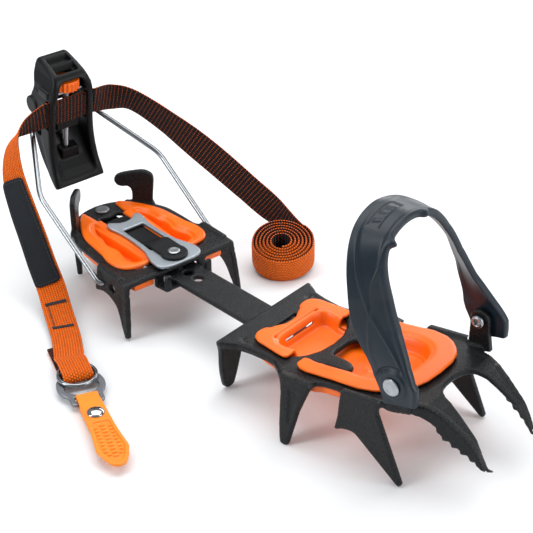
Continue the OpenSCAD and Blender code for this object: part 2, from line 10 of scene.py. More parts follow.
import bpy
import numpy as np
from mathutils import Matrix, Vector


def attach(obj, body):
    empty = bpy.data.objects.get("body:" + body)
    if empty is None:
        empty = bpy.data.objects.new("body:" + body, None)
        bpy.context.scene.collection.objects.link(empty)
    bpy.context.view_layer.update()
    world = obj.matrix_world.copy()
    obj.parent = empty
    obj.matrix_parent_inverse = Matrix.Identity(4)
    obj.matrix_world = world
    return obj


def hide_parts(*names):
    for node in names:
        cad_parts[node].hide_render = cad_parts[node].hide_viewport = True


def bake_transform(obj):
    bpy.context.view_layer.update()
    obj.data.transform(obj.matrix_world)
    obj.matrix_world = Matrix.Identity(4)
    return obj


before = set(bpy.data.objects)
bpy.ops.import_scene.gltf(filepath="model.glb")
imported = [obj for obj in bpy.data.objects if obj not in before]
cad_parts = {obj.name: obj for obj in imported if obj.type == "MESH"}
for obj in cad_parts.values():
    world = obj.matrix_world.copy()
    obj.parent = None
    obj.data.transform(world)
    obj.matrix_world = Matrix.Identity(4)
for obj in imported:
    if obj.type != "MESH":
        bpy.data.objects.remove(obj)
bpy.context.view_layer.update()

COARSE = 1.0  # factor on grid cells and steps
F32 = np.float32


# ------------------------------------------------------------------ frames
def turn(axis, degrees):
    """rotation matrix about one of the axes X, Y, Z"""
    i = ("XYZ".index(axis) + 1) % 3
    j = (i + 1) % 3
    angle = math.radians(degrees)
    matrix = np.eye(3)
    matrix[i, i] = matrix[j, j] = math.cos(angle)
    matrix[i, j] = -math.sin(angle)
    matrix[j, i] = math.sin(angle)
    return matrix


class Frame:
    def __init__(self, rotation, origin):
        self.rotation, self.origin = np.array(rotation, float), np.array(origin, float)

    def __call__(self, points):
        return np.atleast_2d(points) @ self.rotation.T + self.origin

    def direction(self, vector):
        return self.rotation @ np.array(vector, float)

    def then(self, rotation, origin):
        return Frame(self.rotation @ rotation, self.direction(origin) + self.origin)


HEEL_X, HEEL_Y = -68.4, 6.3
LEVER_X, LEVER_Z = -104, 46.3  # the bail's crossbar, in the heel frame
WORLD = Frame(np.eye(3), (0, 0, 0))
HEEL = Frame(turn("Z", -9.4), (HEEL_X, HEEL_Y, 0.3))
BAR = Frame(turn("Z", -5.5), (HEEL_X, HEEL_Y, 0))
LEVER = HEEL.then(turn("Y", 7.7), (LEVER_X, 0, LEVER_Z))
BUCKLE = Frame(turn("Z", -28), (-56.3, -78.2, -27.6))
SCREW_X = 3.9  # adjuster axis, in the lever frame
TOE_PIVOT_X, TOE_PIVOT_Z = 110, 25.7  # rivets of the toe basket
SHEET = 3  # thickness of the platforms' steel


# ------------------------------------------------------------------ distance fields
def soft_min(first, second, blend):
    if blend <= 0:
        return np.minimum(first, second)
    share = np.clip(0.5 + 0.5 * (second - first) / blend, 0, 1)
    return second + (first - second) * share - blend * share * (1 - share)


def soft_cut(kept, removed, blend):
    return -soft_min(-kept, removed, blend)


def polygon(across, along, points):
    """signed distance in a plane to a closed outline, negative inside"""
    across, along = np.broadcast_arrays(np.asarray(across, F32), np.asarray(along, F32))
    squared = np.full(across.shape, 1e9, F32)
    inside = np.zeros(across.shape, bool)
    for (start_u, start_v), (end_u, end_v) in zip(points, points[1:] + points[:1]):
        edge_u, edge_v = end_u - start_u, end_v - start_v
        length2 = edge_u * edge_u + edge_v * edge_v
        if length2 < 1e-12:
            continue
        from_u, from_v = across - F32(start_u), along - F32(start_v)
        share = np.clip((from_u * F32(edge_u) + from_v * F32(edge_v)) / F32(length2), 0, 1)
        off_u, off_v = from_u - F32(edge_u) * share, from_v - F32(edge_v) * share
        squared = np.minimum(squared, off_u * off_u + off_v * off_v)
        if abs(edge_v) > 1e-9:
            crossed = (along >= min(start_v, end_v)) & (along < max(start_v, end_v))
            inside ^= crossed & (from_u < from_v * F32(edge_u / edge_v))
    distance = np.sqrt(squared)
    return np.where(inside, -distance, distance)


def curve(points, steps=5, closed=True, sharp=()):
    """Catmull-Rom through the points; at the indices in sharp the corner stays"""
    P = np.array(points, float)
    count = len(P)
    out = []
    for i in range(count if closed else count - 1):
        start, end = P[i], P[(i + 1) % count]
        before = P[(i - 1) % count] if closed or i > 0 else start
        after = P[(i + 2) % count] if closed or i + 2 < count else end
        if i in sharp:
            before = start
        if (i + 1) % count in sharp:
            after = end
        for j in range(steps):
            t = j / steps
            out.append(0.5 * (2 * start + (end - before) * t
                              + (2 * before - 5 * start + 4 * end - after) * t * t
                              + (3 * start - before - 3 * end + after) * t ** 3))
    if not closed:
        out.append(P[-1])
    return [tuple(point) for point in out]


def half_outline(points, steps, sharp=()):
    """open curve whose ends are carried past the mirror plane to y = -2"""
    ends = [(points[0][0], -2)], [(points[-1][0], -2)]
    return ends[0] + curve(points, steps, closed=False, sharp=sharp) + ends[1]


def extrude(outline, height, edge):
    """both distances combined, with the edge between them rounded"""
    side, cap = outline + F32(edge), height + F32(edge)
    inner = np.minimum(np.maximum(side, cap), 0)
    return inner + np.sqrt(np.maximum(side, 0) ** 2 + np.maximum(cap, 0) ** 2) - F32(edge)


def slab(z, low, high):
    return np.abs(z - F32((low + high) / 2)) - F32((high - low) / 2)


def disc(across, along, radius, centre=(0, 0)):
    return np.sqrt((across - centre[0]) ** 2 + (along - centre[1]) ** 2) - radius


def fade(distance, start, end):
    """0 at start, 1 at end, smooth between"""
    t = np.clip((F32(start) - distance) / F32(start - end), 0, 1)
    return t * t * (3 - 2 * t)


def turned(across, along, origin, degrees):
    """coordinates in axes turned about origin"""
    cos, sin = math.cos(math.radians(degrees)), math.sin(math.radians(degrees))
    across, along = across - origin[0], along - origin[1]
    return across * cos + along * sin, -across * sin + along * cos


# The functions below return a field, that is a function of x, y, z.
def plate_z(points, low, high, edge):
    """outline in X and Y, from low to high in Z"""
    return lambda x, y, z: extrude(polygon(x, y, points), slab(z, low, high), edge)


def plate_y(points, middle, half, edge):
    """outline in X and Z, centred on middle in Y"""
    return lambda x, y, z: extrude(polygon(x, z, points), np.abs(y - middle) - half, edge)


def bore(radius, at_x=0, at_y=0):
    """endless cylinder along Z"""
    return lambda x, y, z: disc(x, y, radius, (at_x, at_y))


def ball(centre, radius):
    return lambda x, y, z: np.sqrt(
        (x - centre[0]) ** 2 + (y - centre[1]) ** 2 + (z - centre[2]) ** 2) - radius


def ellipsoid(centre, radii):
    return lambda x, y, z: np.sqrt(
        ((x - centre[0]) / radii[0]) ** 2 + ((y - centre[1]) / radii[1]) ** 2
        + ((z - centre[2]) / radii[2]) ** 2) - 1


def box(centre, half, edge):
    def field(x, y, z):
        dx, dy, dz = (np.abs(axis - F32(centre[i])) - F32(half[i] - edge)
                      for i, axis in enumerate((x, y, z)))
        outer = np.sqrt(np.maximum(dx, 0) ** 2 + np.maximum(dy, 0) ** 2 + np.maximum(dz, 0) ** 2)
        return outer + np.minimum(np.maximum(dx, np.maximum(dy, dz)), 0) - F32(edge)
    return field


def capsule(start, end, radius):
    start, end = np.array(start, float), np.array(end, float)
    axis = end - start

    def field(x, y, z):
        dx, dy, dz = x - F32(start[0]), y - F32(start[1]), z - F32(start[2])
        share = (dx * axis[0] + dy * axis[1] + dz * axis[2]) / float(axis @ axis)
        t = np.clip(share, 0, 1).astype(F32)
        return np.sqrt((dx - axis[0] * t) ** 2 + (dy - axis[1] * t) ** 2
                       + (dz - axis[2] * t) ** 2) - F32(radius)
    return field


LOWEST, HIGHEST = (-1e6,) * 3, (1e6,) * 3


class Solid:
    """Signed distances on a grid. A mirrored one holds y >= 0 only and starts at y = 0.

    add, cut and trim work within the box lo..hi, softened over the length blend.
    """

    def __init__(self, lo, hi, cell, mirrored=True):
        self.cell, self.mirrored = cell * COARSE, mirrored
        self.lo = np.array([lo[0], 0 if mirrored else lo[1], lo[2]], float)
        self.size = [int(math.ceil((hi[i] - self.lo[i]) / self.cell)) + 1 for i in range(3)]
        self.ticks = [(self.lo[i] + self.cell * np.arange(self.size[i])).astype(F32)
                      for i in range(3)]
        self.dist = np.full(self.size, 30.0, F32)

    def window(self, lo=LOWEST, hi=HIGHEST, pad=0.0):
        """grid slices of a box, and its x, y, z shaped to broadcast"""
        part = []
        for i in range(3):
            first = max(0, int(math.floor((lo[i] - pad - self.lo[i]) / self.cell)))
            last = int(math.ceil((hi[i] + pad - self.lo[i]) / self.cell)) + 1
            part.append(slice(first, max(min(self.size[i], last), first + 1)))
        x, y, z = (self.ticks[i][part[i]] for i in range(3))
        return tuple(part), x[:, None, None], y[None, :, None], z[None, None, :]

    def apply(self, rule, field, lo, hi, blend):
        part, x, y, z = self.window(lo, hi, blend + 1.6 * self.cell + 0.8)
        self.dist[part] = rule(self.dist[part], np.asarray(field(x, y, z), F32), blend)

    def add(self, field, lo=LOWEST, hi=HIGHEST, blend=0.0):
        self.apply(soft_min, field, lo, hi, blend)

    def cut(self, field, lo=LOWEST, hi=HIGHEST, blend=0.0):
        self.apply(soft_cut, field, lo, hi, blend)

    def trim(self, field, lo=LOWEST, hi=HIGHEST, blend=0.0):
        """keep only what lies inside the field"""
        self.apply(lambda old, new, soft: soft_cut(old, -new, soft), field, lo, hi, blend)

    def mesh(self, smoothing=2):
        """surface nets: one vertex per crossed cell, one quad per crossed grid edge"""
        dist, lo = self.dist, self.lo.copy()
        if self.mirrored:
            dist = np.concatenate([dist[:, :0:-1], dist], axis=1)
            lo[1] -= self.cell * (self.size[1] - 1)
        dist = dist.copy()
        for axis in range(3):  # close the surface at the grid's border
            for end in (0, -1):
                border = [slice(None)] * 3
                border[axis] = end
                dist[tuple(border)] = np.maximum(dist[tuple(border)], 0.3 * self.cell)
        inside = dist < 0
        count = inside[:-1].astype(np.uint8) + inside[1:]
        count = count[:, :-1] + count[:, 1:]
        count = count[:, :, :-1] + count[:, :, 1:]
        crossed = (count > 0) & (count < 8)
        index = np.full(crossed.shape, -1, np.int32)
        cells = np.argwhere(crossed)
        index[crossed] = np.arange(len(cells), dtype=np.int32)
        corners = {o: dist[cells[:, 0] + o[0], cells[:, 1] + o[1], cells[:, 2] + o[2]]
                   for o in np.ndindex(2, 2, 2)}
        total, hits = np.zeros((len(cells), 3)), np.zeros(len(cells))
        for axis in range(3):
            for near in np.ndindex(2, 2, 2):
                if near[axis]:
                    continue
                far = list(near)
                far[axis] = 1
                start, end = corners[near], corners[tuple(far)]
                hit = (start < 0) != (end < 0)
                point = np.tile(np.array(near, float), (int(hit.sum()), 1))
                point[:, axis] += start[hit] / (start[hit] - end[hit])
                total[hit] += point
                hits[hit] += 1
        verts = lo + self.cell * (cells + total / hits[:, None])
        faces = []
        for axis in range(3):
            side1, side2 = (axis + 1) % 3, (axis + 2) % 3
            lower, upper = [slice(1, -1)] * 3, [slice(1, -1)] * 3
            lower[axis], upper[axis] = slice(0, -1), slice(1, None)
            below, above = inside[tuple(lower)], inside[tuple(upper)]
            edges = np.argwhere(below != above)
            if not len(edges):
                continue
            outward = below[edges[:, 0], edges[:, 1], edges[:, 2]]
            edges[:, side1] += 1
            edges[:, side2] += 1
            quads = []
            for shift1, shift2 in ((-1, -1), (0, -1), (0, 0), (-1, 0)):
                cell = edges.copy()
                cell[:, side1] += shift1
                cell[:, side2] += shift2
                quads.append(index[cell[:, 0], cell[:, 1], cell[:, 2]])
            quads = np.stack(quads, 1)
            quads[~outward] = quads[~outward][:, ::-1]
            faces.append(quads)
        faces = np.concatenate(faces)
        return smoothed(verts, faces, smoothing), faces


def smoothed(verts, faces, passes):
    """volume-keeping smoothing: each pass shrinks, then swells"""
    edges = np.concatenate([faces[:, [i, (i + 1) % 4]] for i in range(4)])
    count = len(verts)
    degree = np.bincount(edges[:, 0], minlength=count).astype(float)
    for i in range(passes * 2):
        factor = 0.5 if i % 2 == 0 else -0.52
        sums = np.stack([np.bincount(edges[:, 0], verts[edges[:, 1], j], minlength=count)
                         for j in range(3)], 1)
        verts = verts + factor * (sums / np.maximum(degree, 1)[:, None] - verts)
    return verts


# ------------------------------------------------------------------ meshes
def put(name, mesh, material, slot, body, place, *replaces, sharp=None, uv=None, side=None):
    """make the object; with no body it does not ride, sharp is an angle in degrees"""
    verts, faces = mesh
    verts = place(np.asarray(verts, float)) / 1000.0
    data = bpy.data.meshes.new(name)
    if isinstance(faces, np.ndarray):
        data.vertices.add(len(verts))
        data.vertices.foreach_set("co", verts.astype(F32).ravel())
        data.loops.add(faces.size)
        data.loops.foreach_set("vertex_index", faces.astype(np.int32).ravel())
        data.polygons.add(len(faces))
        starts = np.arange(0, faces.size, faces.shape[1], dtype=np.int32)
        data.polygons.foreach_set("loop_start", starts)
        data.update(calc_edges=True)
    else:
        data.from_pydata([tuple(point) for point in verts], [],
                         [tuple(int(i) for i in face) for face in faces])
        data.update()
    data.validate()
    data.polygons.foreach_set("use_smooth", np.full(len(data.polygons), True))
    if uv is not None:
        corner = np.empty(len(data.loops), np.int32)
        layer = data.uv_layers.new(name="web")
        data.loops.foreach_get("vertex_index", corner)
        layer.data.foreach_set("uv", np.asarray(uv, F32)[corner].ravel())
    if side is not None:
        attribute = data.attributes.new("side", "FLOAT", "POINT")
        attribute.data.foreach_set("value", np.asarray(side, F32))
    if sharp is not None:
        data.set_sharp_from_angle(angle=math.radians(sharp))
    thing = bpy.data.objects.new(name, data)
    bpy.context.scene.collection.objects.link(thing)
    data.materials.append(material)
    if body:
        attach(thing, body)
    if replaces:
        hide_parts(*replaces)
    return thing


def lathe(profile, segments):
    """profile of (radius, z) turned about Z; radius 0 makes a pole"""
    verts, faces, rings = [], [], []
    for radius, z in profile:
        size = 1 if radius < 1e-6 else segments
        rings.append(list(range(len(verts), len(verts) + size)))
        if size == 1:
            verts.append((0, 0, z))
            continue
        angles = [2 * math.pi * i / segments for i in range(segments)]
        verts += [(radius * math.cos(a), radius * math.sin(a), z) for a in angles]
    for lower, upper in zip(rings[:-1], rings[1:]):
        for i in range(segments):
            j = (i + 1) % segments
            if len(lower) == 1:
                faces.append((lower[0], upper[j], upper[i]))
            elif len(upper) == 1:
                faces.append((lower[i], lower[j], upper[0]))
            else:
                faces.append((lower[i], lower[j], upper[j], upper[i]))
    return np.array(verts, float), faces


def put_turned(name, profile, segments, at_x, material, body, place, replaces, sharp):
    verts, faces = lathe(profile, segments)
    verts[:, 0] += at_x
    put(name, (verts, faces), material, "rivet_steel", body, place, replaces, sharp=sharp)


def joined(*parts):
    verts, faces, offset = [], [], 0
    for part_verts, part_faces in parts:
        verts.append(np.asarray(part_verts, float))
        faces += [tuple(int(i) + offset for i in face) for face in part_faces]
        offset += len(part_verts)
    return np.concatenate(verts), faces


def ring_quads(rings, size):
    """quads between consecutive closed rings of vertices"""
    row, column = np.arange(rings - 1)[:, None] * size, np.arange(size)[None]
    first = (row + column).ravel()
    second = (row + (column + 1) % size).ravel()
    return np.stack([first, second, second + size, first + size], 1)


def volume_sign(corners):
    """positive where quads given by their corner points face outward"""
    normals = np.cross(corners[:, 1], corners[:, 2]) + np.cross(corners[:, 2], corners[:, 3])
    return np.einsum("ij,ij->i", corners[:, 0], normals).sum()


def arc_length(points):
    return np.concatenate([[0], np.cumsum(np.linalg.norm(np.diff(points, axis=0), axis=1))])


def resample(points, spacing):
    points = np.array(points, float)
    run = arc_length(points)
    even = np.linspace(0, run[-1], max(2, int(round(run[-1] / spacing)) + 1))
    return np.stack([np.interp(even, run, points[:, i]) for i in range(points.shape[1])], 1)


def tube(path, radius, sides):
    """round wire along the path, with blunt cones for ends"""
    tangent = np.gradient(path, axis=0)
    tangent /= np.linalg.norm(tangent, axis=1)[:, None]
    first = np.cross(tangent[0], (0, 0, 1))
    normals = [first / np.linalg.norm(first)]
    for i in range(1, len(path)):
        normal = normals[-1] - tangent[i] * (normals[-1] @ tangent[i])
        normals.append(normal / np.linalg.norm(normal))
    normals = np.array(normals)
    binormals = np.cross(tangent, normals)
    angle = np.linspace(0, 2 * math.pi, sides, endpoint=False)[None, :, None]
    around = np.cos(angle) * normals[:, None] + np.sin(angle) * binormals[:, None]
    verts = (path[:, None] + radius * around).reshape(-1, 3)
    faces = ring_quads(len(path), sides).tolist()
    pole, last = len(verts), (len(path) - 1) * sides
    verts = np.concatenate([verts, [path[0] - tangent[0] * radius * 0.3,
                                    path[-1] + tangent[-1] * radius * 0.3]])
    for j in range(sides):
        k = (j + 1) % sides
        faces += [(pole, k, j), (pole + 1, last + j, last + k)]
    return verts, faces


def filleted(points, radii, steps):
    """polyline with each inner corner rounded by its radius"""
    points = [np.array(point, float) for point in points]
    out = [points[0]]
    for before, corner, after, radius in zip(points, points[1:], points[2:], radii):
        back, ahead = before - corner, after - corner
        back_length, ahead_length = np.linalg.norm(back), np.linalg.norm(ahead)
        back, ahead = back / back_length, ahead / ahead_length
        half = math.acos(max(-1, min(1, float(back @ ahead)))) / 2
        reach = min(radius / math.tan(half), 0.48 * back_length, 0.48 * ahead_length)
        radius = reach * math.tan(half)
        inward = (back + ahead) / np.linalg.norm(back + ahead)
        centre = corner + inward * radius / math.sin(half)
        start, end = corner + back * reach - centre, corner + ahead * reach - centre
        cosine = float(start @ end) / (np.linalg.norm(start) * np.linalg.norm(end))
        sweep = math.acos(max(-1, min(1, cosine)))
        for k in range(steps + 1):
            t = k / steps
            arc = math.sin((1 - t) * sweep) * start + math.sin(t * sweep) * end
            out.append(centre + arc / math.sin(sweep))
    out.append(points[-1])
    return np.array(out)


# ------------------------------------------------------------------ materials
class Shader:
    def __init__(self, name):
        self.material = bpy.data.materials.new(name)
        self.material.use_nodes = True
        self.tree = self.material.node_tree
        self.principled = self.tree.nodes["Principled BSDF"]

    def node(self, kind, **settings):
        made = self.tree.nodes.new(kind)
        for key, value in settings.items():
            setattr(made, key, value)
        return made

    def link(self, output, socket):
        self.tree.links.new(output, socket)

    def set(self, **values):
        for key, value in values.items():
            self.principled.inputs[key.replace("_", " ")].default_value = value

    def coord(self):
        return self.node("ShaderNodeTexCoord").outputs["Object"]

    def noise(self, scale, detail, rough, vector=None):
        made = self.node("ShaderNodeTexNoise")
        made.inputs["Scale"].default_value = scale
        made.inputs["Detail"].default_value = detail
        made.inputs["Roughness"].default_value = rough
        made.inputs["Distortion"].default_value = 0.0
        self.link(vector or self.coord(), made.inputs["Vector"])
        return made.outputs["Fac"]

    def remap(self, value, source, target=(0.0, 1.0)):
        made = self.node("ShaderNodeMapRange")
        for key, number in zip(("From Min", "From Max", "To Min", "To Max"), source + target):
            made.inputs[key].default_value = number
        self.link(value, made.inputs["Value"])
        return made.outputs["Result"]

    def math(self, operation, *operands):
        made = self.node("ShaderNodeMath", operation=operation)
        for i, operand in enumerate(operands):
            if isinstance(operand, (int, float)):
                made.inputs[i].default_value = operand
            else:
                self.link(operand, made.inputs[i])
        return made.outputs[0]

    def mix(self, factor, first, second):
        made = self.node("ShaderNodeMix", data_type="RGBA")
        # sockets 0, 6 and 7 are the factor and the two colours
        for i, value in ((0, factor), (6, first), (7, second)):
            if isinstance(value, (int, float)):
                made.inputs[i].default_value = value
            elif isinstance(value, tuple):
                made.inputs[i].default_value = (*value, 1)
            else:
                self.link(value, made.inputs[i])
        return made.outputs[2]

    def bump(self, height, distance, strength):
        made = self.node("ShaderNodeBump")
        made.inputs["Strength"].default_value = strength
        made.inputs["Distance"].default_value = distance
        self.link(height, made.inputs["Height"])
        self.link(made.outputs[0], self.principled.inputs["Normal"])

    def color(self, output):
        self.link(output, self.principled.inputs["Base Color"])

    def roughness(self, output):
        self.link(output, self.principled.inputs["Roughness"])


def scaled(color, factor):
    return tuple(channel * factor for channel in color)


def mat_steel():
    """fine-grained powder coat, a little paler and bluish on sharp edges and bends as a painted
    highlight
    """
    m = Shader("powder_coated_steel")
    grain = m.noise(scale=1500, detail=3, rough=0.7)
    patches = m.noise(scale=90, detail=3, rough=0.5)
    pointed = m.node("ShaderNodeNewGeometry").outputs["Pointiness"]
    # painted highlight mask: high pointiness, that is sharp edges and bends
    painted_edge_highlight = m.remap(pointed, (0.53, 0.60))
    base = m.mix(m.remap(grain, (0.36, 0.68)), (0.0022, 0.0026, 0.0032), (0.017, 0.019, 0.021))
    base = m.mix(m.remap(patches, (0.35, 0.7), (0.0, 0.3)), base, (0.010, 0.0095, 0.009))
    # paints the edge highlight: sharp edges and bends mixed toward a pale bluish grey
    base = m.mix(m.math("MULTIPLY", painted_edge_highlight, 0.6), base, (0.10, 0.115, 0.13))
    m.color(base)
    m.roughness(m.remap(grain, (0.3, 0.75), (0.22, 0.40)))
    m.set(Specular_IOR_Level=0.2)
    m.bump(grain, distance=0.0003, strength=0.8)
    return m.material


def mat_orange():
    m = Shader("snow_plate_plastic")
    tone = m.noise(scale=35, detail=3, rough=0.5)
    fine = m.noise(scale=900, detail=2, rough=0.5)
    m.color(m.mix(m.remap(tone, (0.35, 0.65)), (0.90, 0.128, 0.0004), (0.96, 0.158, 0.0008)))
    m.roughness(m.remap(tone, (0.3, 0.7), (0.29, 0.40)))
    m.set(Specular_IOR_Level=0.5, Subsurface_Weight=0.04, Subsurface_Scale=0.003,
          Subsurface_Radius=(1.0, 0.35, 0.08))
    m.bump(fine, distance=0.00004, strength=0.5)
    return m.material


def mat_plastic(name, dark, light, rough, grain, relief, specular=0.5):
    """rough is the range of roughness, grain the scale of the surface's noise"""
    m = Shader(name)
    fine = m.noise(scale=grain, detail=3, rough=0.6)
    tone = m.noise(scale=45, detail=3, rough=0.5)
    m.color(m.mix(m.remap(tone, (0.35, 0.7)), dark, light))
    m.roughness(m.remap(tone, (0.3, 0.7), rough))
    m.set(Specular_IOR_Level=specular)
    m.bump(fine, distance=relief, strength=0.7)
    return m.material


def mat_metal(name, color, rough, relief=0.00003, grain=900):
    m = Shader(name)
    mapping = m.node("ShaderNodeMapping")
    mapping.inputs["Scale"].default_value = (grain,) * 3
    m.link(m.coord(), mapping.inputs["Vector"])
    fine = m.noise(scale=1.0, detail=3, rough=0.6, vector=mapping.outputs[0])
    tone = m.noise(scale=60, detail=3, rough=0.5)
    m.color(m.mix(m.remap(tone, (0.3, 0.7)), scaled(color, 0.9), color))
    m.roughness(m.remap(fine, (0.3, 0.7), rough))
    m.set(Metallic=1.0)
    m.bump(fine, distance=relief, strength=0.5)
    return m.material


def mat_web(name, face, back, edge, pitch, relief, picks=None, edge_picks=None):
    """Woven webbing. UV map 'web' is in mm, along and across.

    Attribute 'side' is 1 on the face, 0 on the back. picks colours threads seen on the back.
    """
    m = Shader(name)
    uv = m.node("ShaderNodeUVMap", uv_map="web").outputs[0]
    split = m.node("ShaderNodeSeparateXYZ")
    m.link(uv, split.inputs[0])
    along, across = split.outputs[0], split.outputs[1]
    column = m.math("DIVIDE", along, pitch[0])
    row = m.math("DIVIDE", across, pitch[1])
    # every other row is shifted by half a cell
    odd = m.math("MODULO", m.math("ABSOLUTE", m.math("FLOOR", row)), 2.0)
    in_column = m.math("FRACT", m.math("ADD", column, m.math("MULTIPLY", odd, 0.5)))
    in_row = m.math("FRACT", row)
    off_u = m.math("SUBTRACT", in_column, 0.5)
    off_v = m.math("SUBTRACT", in_row, 0.5)
    radius2 = m.math("ADD", m.math("MULTIPLY", m.math("MULTIPLY", off_u, off_u), 3.0),
                     m.math("MULTIPLY", m.math("MULTIPLY", off_v, off_v), 4.0))
    hump = m.remap(radius2, (0.0, 1.0), (1.0, 0.0))
    side = m.node("ShaderNodeAttribute", attribute_name="side").outputs["Fac"]
    is_face = m.math("GREATER_THAN", side, 0.62)
    is_back = m.math("LESS_THAN", side, 0.38)
    variation = m.noise(scale=400, detail=3, rough=0.6)
    # painted shade: the face colour darkens toward the low edges of each weave hump, in the
    # weave's hollows
    face_color = m.mix(m.remap(hump, (0.15, 0.85)), scaled(face, 0.45), face)
    face_color = m.mix(m.remap(variation, (0.35, 0.7), (0.0, 0.35)), face_color,
                       tuple(min(1, channel * 1.25) for channel in face))
    # painted shade: the back colour darkens the same way in the weave's hollows
    back_color = m.mix(m.remap(hump, (0.15, 0.85)), scaled(back, 0.35), back)
    if picks:
        pick_u = m.math("SUBTRACT", m.math("FRACT", m.math("DIVIDE", along, 2.25)), 0.5)
        pick_v = m.math("SUBTRACT", m.math("FRACT", m.math("DIVIDE", across, 1.08)), 0.5)
        spot = m.math("MULTIPLY", m.math("LESS_THAN", m.math("ABSOLUTE", pick_v), 0.26),
                      m.math("LESS_THAN", m.math("ABSOLUTE", pick_u), 0.11))
        back_color = m.mix(spot, back_color, picks)
    edge_color = m.mix(m.math("GREATER_THAN", m.math("FRACT", column), 0.5), edge,
                       edge_picks or scaled(edge, 0.6))
    color = m.mix(is_face, edge_color, face_color)
    m.color(m.mix(is_back, color, back_color))
    m.set(Roughness=0.82, Specular_IOR_Level=0.25, Sheen_Weight=0.04, Sheen_Roughness=0.5)
    fibre = m.noise(scale=2600, detail=2, rough=0.5)
    m.bump(m.math("ADD", hump, m.math("MULTIPLY", fibre, 0.25)), distance=relief, strength=0.9)
    return m.material


WEAVE = (1.5, 1.35)  # weave cell, along and across the webbing
STEEL = mat_steel()
ORANGE = mat_orange()
BASKET = mat_plastic("basket_elastomer", dark=(0.0085, 0.016, 0.025), light=(0.012, 0.021, 0.032),
                     rough=(0.34, 0.46), grain=1300, relief=0.00005, specular=0.34)
NYLON = mat_plastic("lever_nylon", dark=(0.0022, 0.0025, 0.003), light=(0.0045, 0.005, 0.006),
                    rough=(0.34, 0.46), grain=1500, relief=0.00007, specular=0.2)
SPRING = mat_plastic("spring_steel_coat", dark=(0.004, 0.0045, 0.0055),
                     light=(0.008, 0.0085, 0.010), rough=(0.45, 0.58), grain=1700,
                     relief=0.0001, specular=0.2)
WIRE = mat_metal("polished_wire", (0.27, 0.285, 0.30), rough=(0.16, 0.28))
ZINC = mat_metal("zinc_rivet", (0.40, 0.42, 0.44), rough=(0.28, 0.42), relief=0.00005)
BLASTED = mat_metal("blasted_plate", (0.40, 0.44, 0.48), rough=(0.42, 0.55), relief=0.00012,
                    grain=1400)
BUCKLE_METAL = mat_metal("buckle_steel", (0.23, 0.24, 0.265), rough=(0.34, 0.48), relief=0.0001,
                         grain=1200)
CHROME = mat_metal("chrome_dome", (0.42, 0.43, 0.45), rough=(0.03, 0.08), relief=0.00001)
YELLOW = mat_plastic("pull_tab_rubber", dark=(0.88, 0.22, 0.0003), light=(0.94, 0.255, 0.0005),
                     rough=(0.42, 0.55), grain=900, relief=0.00006)
LABEL = mat_web("label_patch_weave", face=(0.013, 0.016, 0.021), back=(0.012, 0.012, 0.014),
                edge=(0.01, 0.011, 0.013), pitch=(0.5, 0.5), relief=0.00008)
THREAD = mat_plastic("sewing_thread", dark=(0.012, 0.012, 0.014), light=(0.03, 0.03, 0.033),
                     rough=(0.7, 0.85), grain=3500, relief=0.0002)
WEB = mat_web("webbing", face=(0.95, 0.15, 0.002), back=(0.009, 0.0075, 0.0075),
              edge=(0.85, 0.13, 0.004), pitch=WEAVE, relief=0.0006,
              picks=(0.45, 0.06, 0.004), edge_picks=(0.05, 0.02, 0.012))

# ------------------------------------------------------------------ front section
# The front parts are built flat and then bent upward across Y.
BEND_X, BEND_DEGREES, BEND_LENGTH = 45, 10, 8
FOLD_BLEND = 2.2  # softness of the folds between the platforms and their points


def flat(points):
    """outline in X and Z of the bent part, turned back into the flat sheet"""
    cos, sin = math.cos(math.radians(BEND_DEGREES)), math.sin(math.radians(BEND_DEGREES))
    return [(BEND_X + (x - BEND_X) * cos + z * sin, -(x - BEND_X) * sin + z * cos)
            if x > BEND_X else (x, z) for x, z in points]


def bent(mesh):
    verts, faces = mesh
    x, z = verts[:, 0], verts[:, 2]
    start = BEND_X - BEND_LENGTH / 2
    angle = math.radians(BEND_DEGREES) * np.clip((x - start) / BEND_LENGTH, 0, 1)
    radius = BEND_LENGTH / math.radians(BEND_DEGREES)
    beyond = np.maximum(x - start - BEND_LENGTH, 0)
    middle_x = np.where(x < start, x, start + radius * np.sin(angle)) + beyond * np.cos(angle)
    middle_z = radius * (1 - np.cos(angle)) + beyond * np.sin(angle)
    return np.stack([middle_x - z * np.sin(angle), verts[:, 1],
                     middle_z + z * np.cos(angle)], 1), faces


# Half outlines of the flat sheet and its openings, (x, y)
FRONT_OUTLINE = [
    (0, -2), (0, 32.6), (0.5, 34), (1.6, 34.5), (5, 34.4), (7.6, 33), (10.4, 31.2), (18, 29.8),
    (27, 29.1), (33, 29.9), (38, 33), (42, 36.4), (46, 37.6), (57, 37.6), (60.4, 36.6),
    (62.8, 34.2), (66, 32.9), (74, 32.8), (80, 34.2), (108, 34.4), (111.5, 33.4), (113.4, 31),
    (117, 28.4), (121, 26.8), (127.8, 24.8), (134.8, 22.8), (140, 21.2), (146.7, 19.6),
    (150, 18.6), (150, 17.6), (144.6, 16.9), (139.4, 15.9), (133, 14.8), (127.5, 13.9),
    (123, 12.8), (119.8, 10.6), (118, 7.4), (117.2, 3.6), (117, 0), (117, -2)]
FRONT_OPENINGS = [
    [(20.5, -2), (20.5, 19.4), (21.6, 21.8), (24.4, 23.3), (31, 23.6), (36, 22.6), (39, 20.2),
     (42.4, 16), (45.4, 9), (46.4, 0), (46.4, -2)],
    [(52.3, -2), (52.0, 5), (53.4, 8.2), (57.5, 9.2), (61, 9.5), (66.5, 11), (69.6, 13.2),
     (70.4, 15.6), (69.4, 17.6), (66, 18.8), (56, 18.2), (51.6, 20), (49.8, 22.2), (51, 25),
     (54, 26), (60, 25.5), (68, 24.4), (80, 24.6), (92, 23), (98, 19.2), (101.6, 13), (103, 6),
     (103, -2)],
    [(14.7, -2), (14.7, 9.0), (18.7, 9.4), (18.7, -2)]]
# Upper face along the front points, (x, z)
FRONT_TOP = flat([(112, 11.3), (120, 12.2), (126, 10.8), (132, 7.3), (138, 3.2), (143, -0.4),
                  (146, -4.6), (150.8, -12.4)])
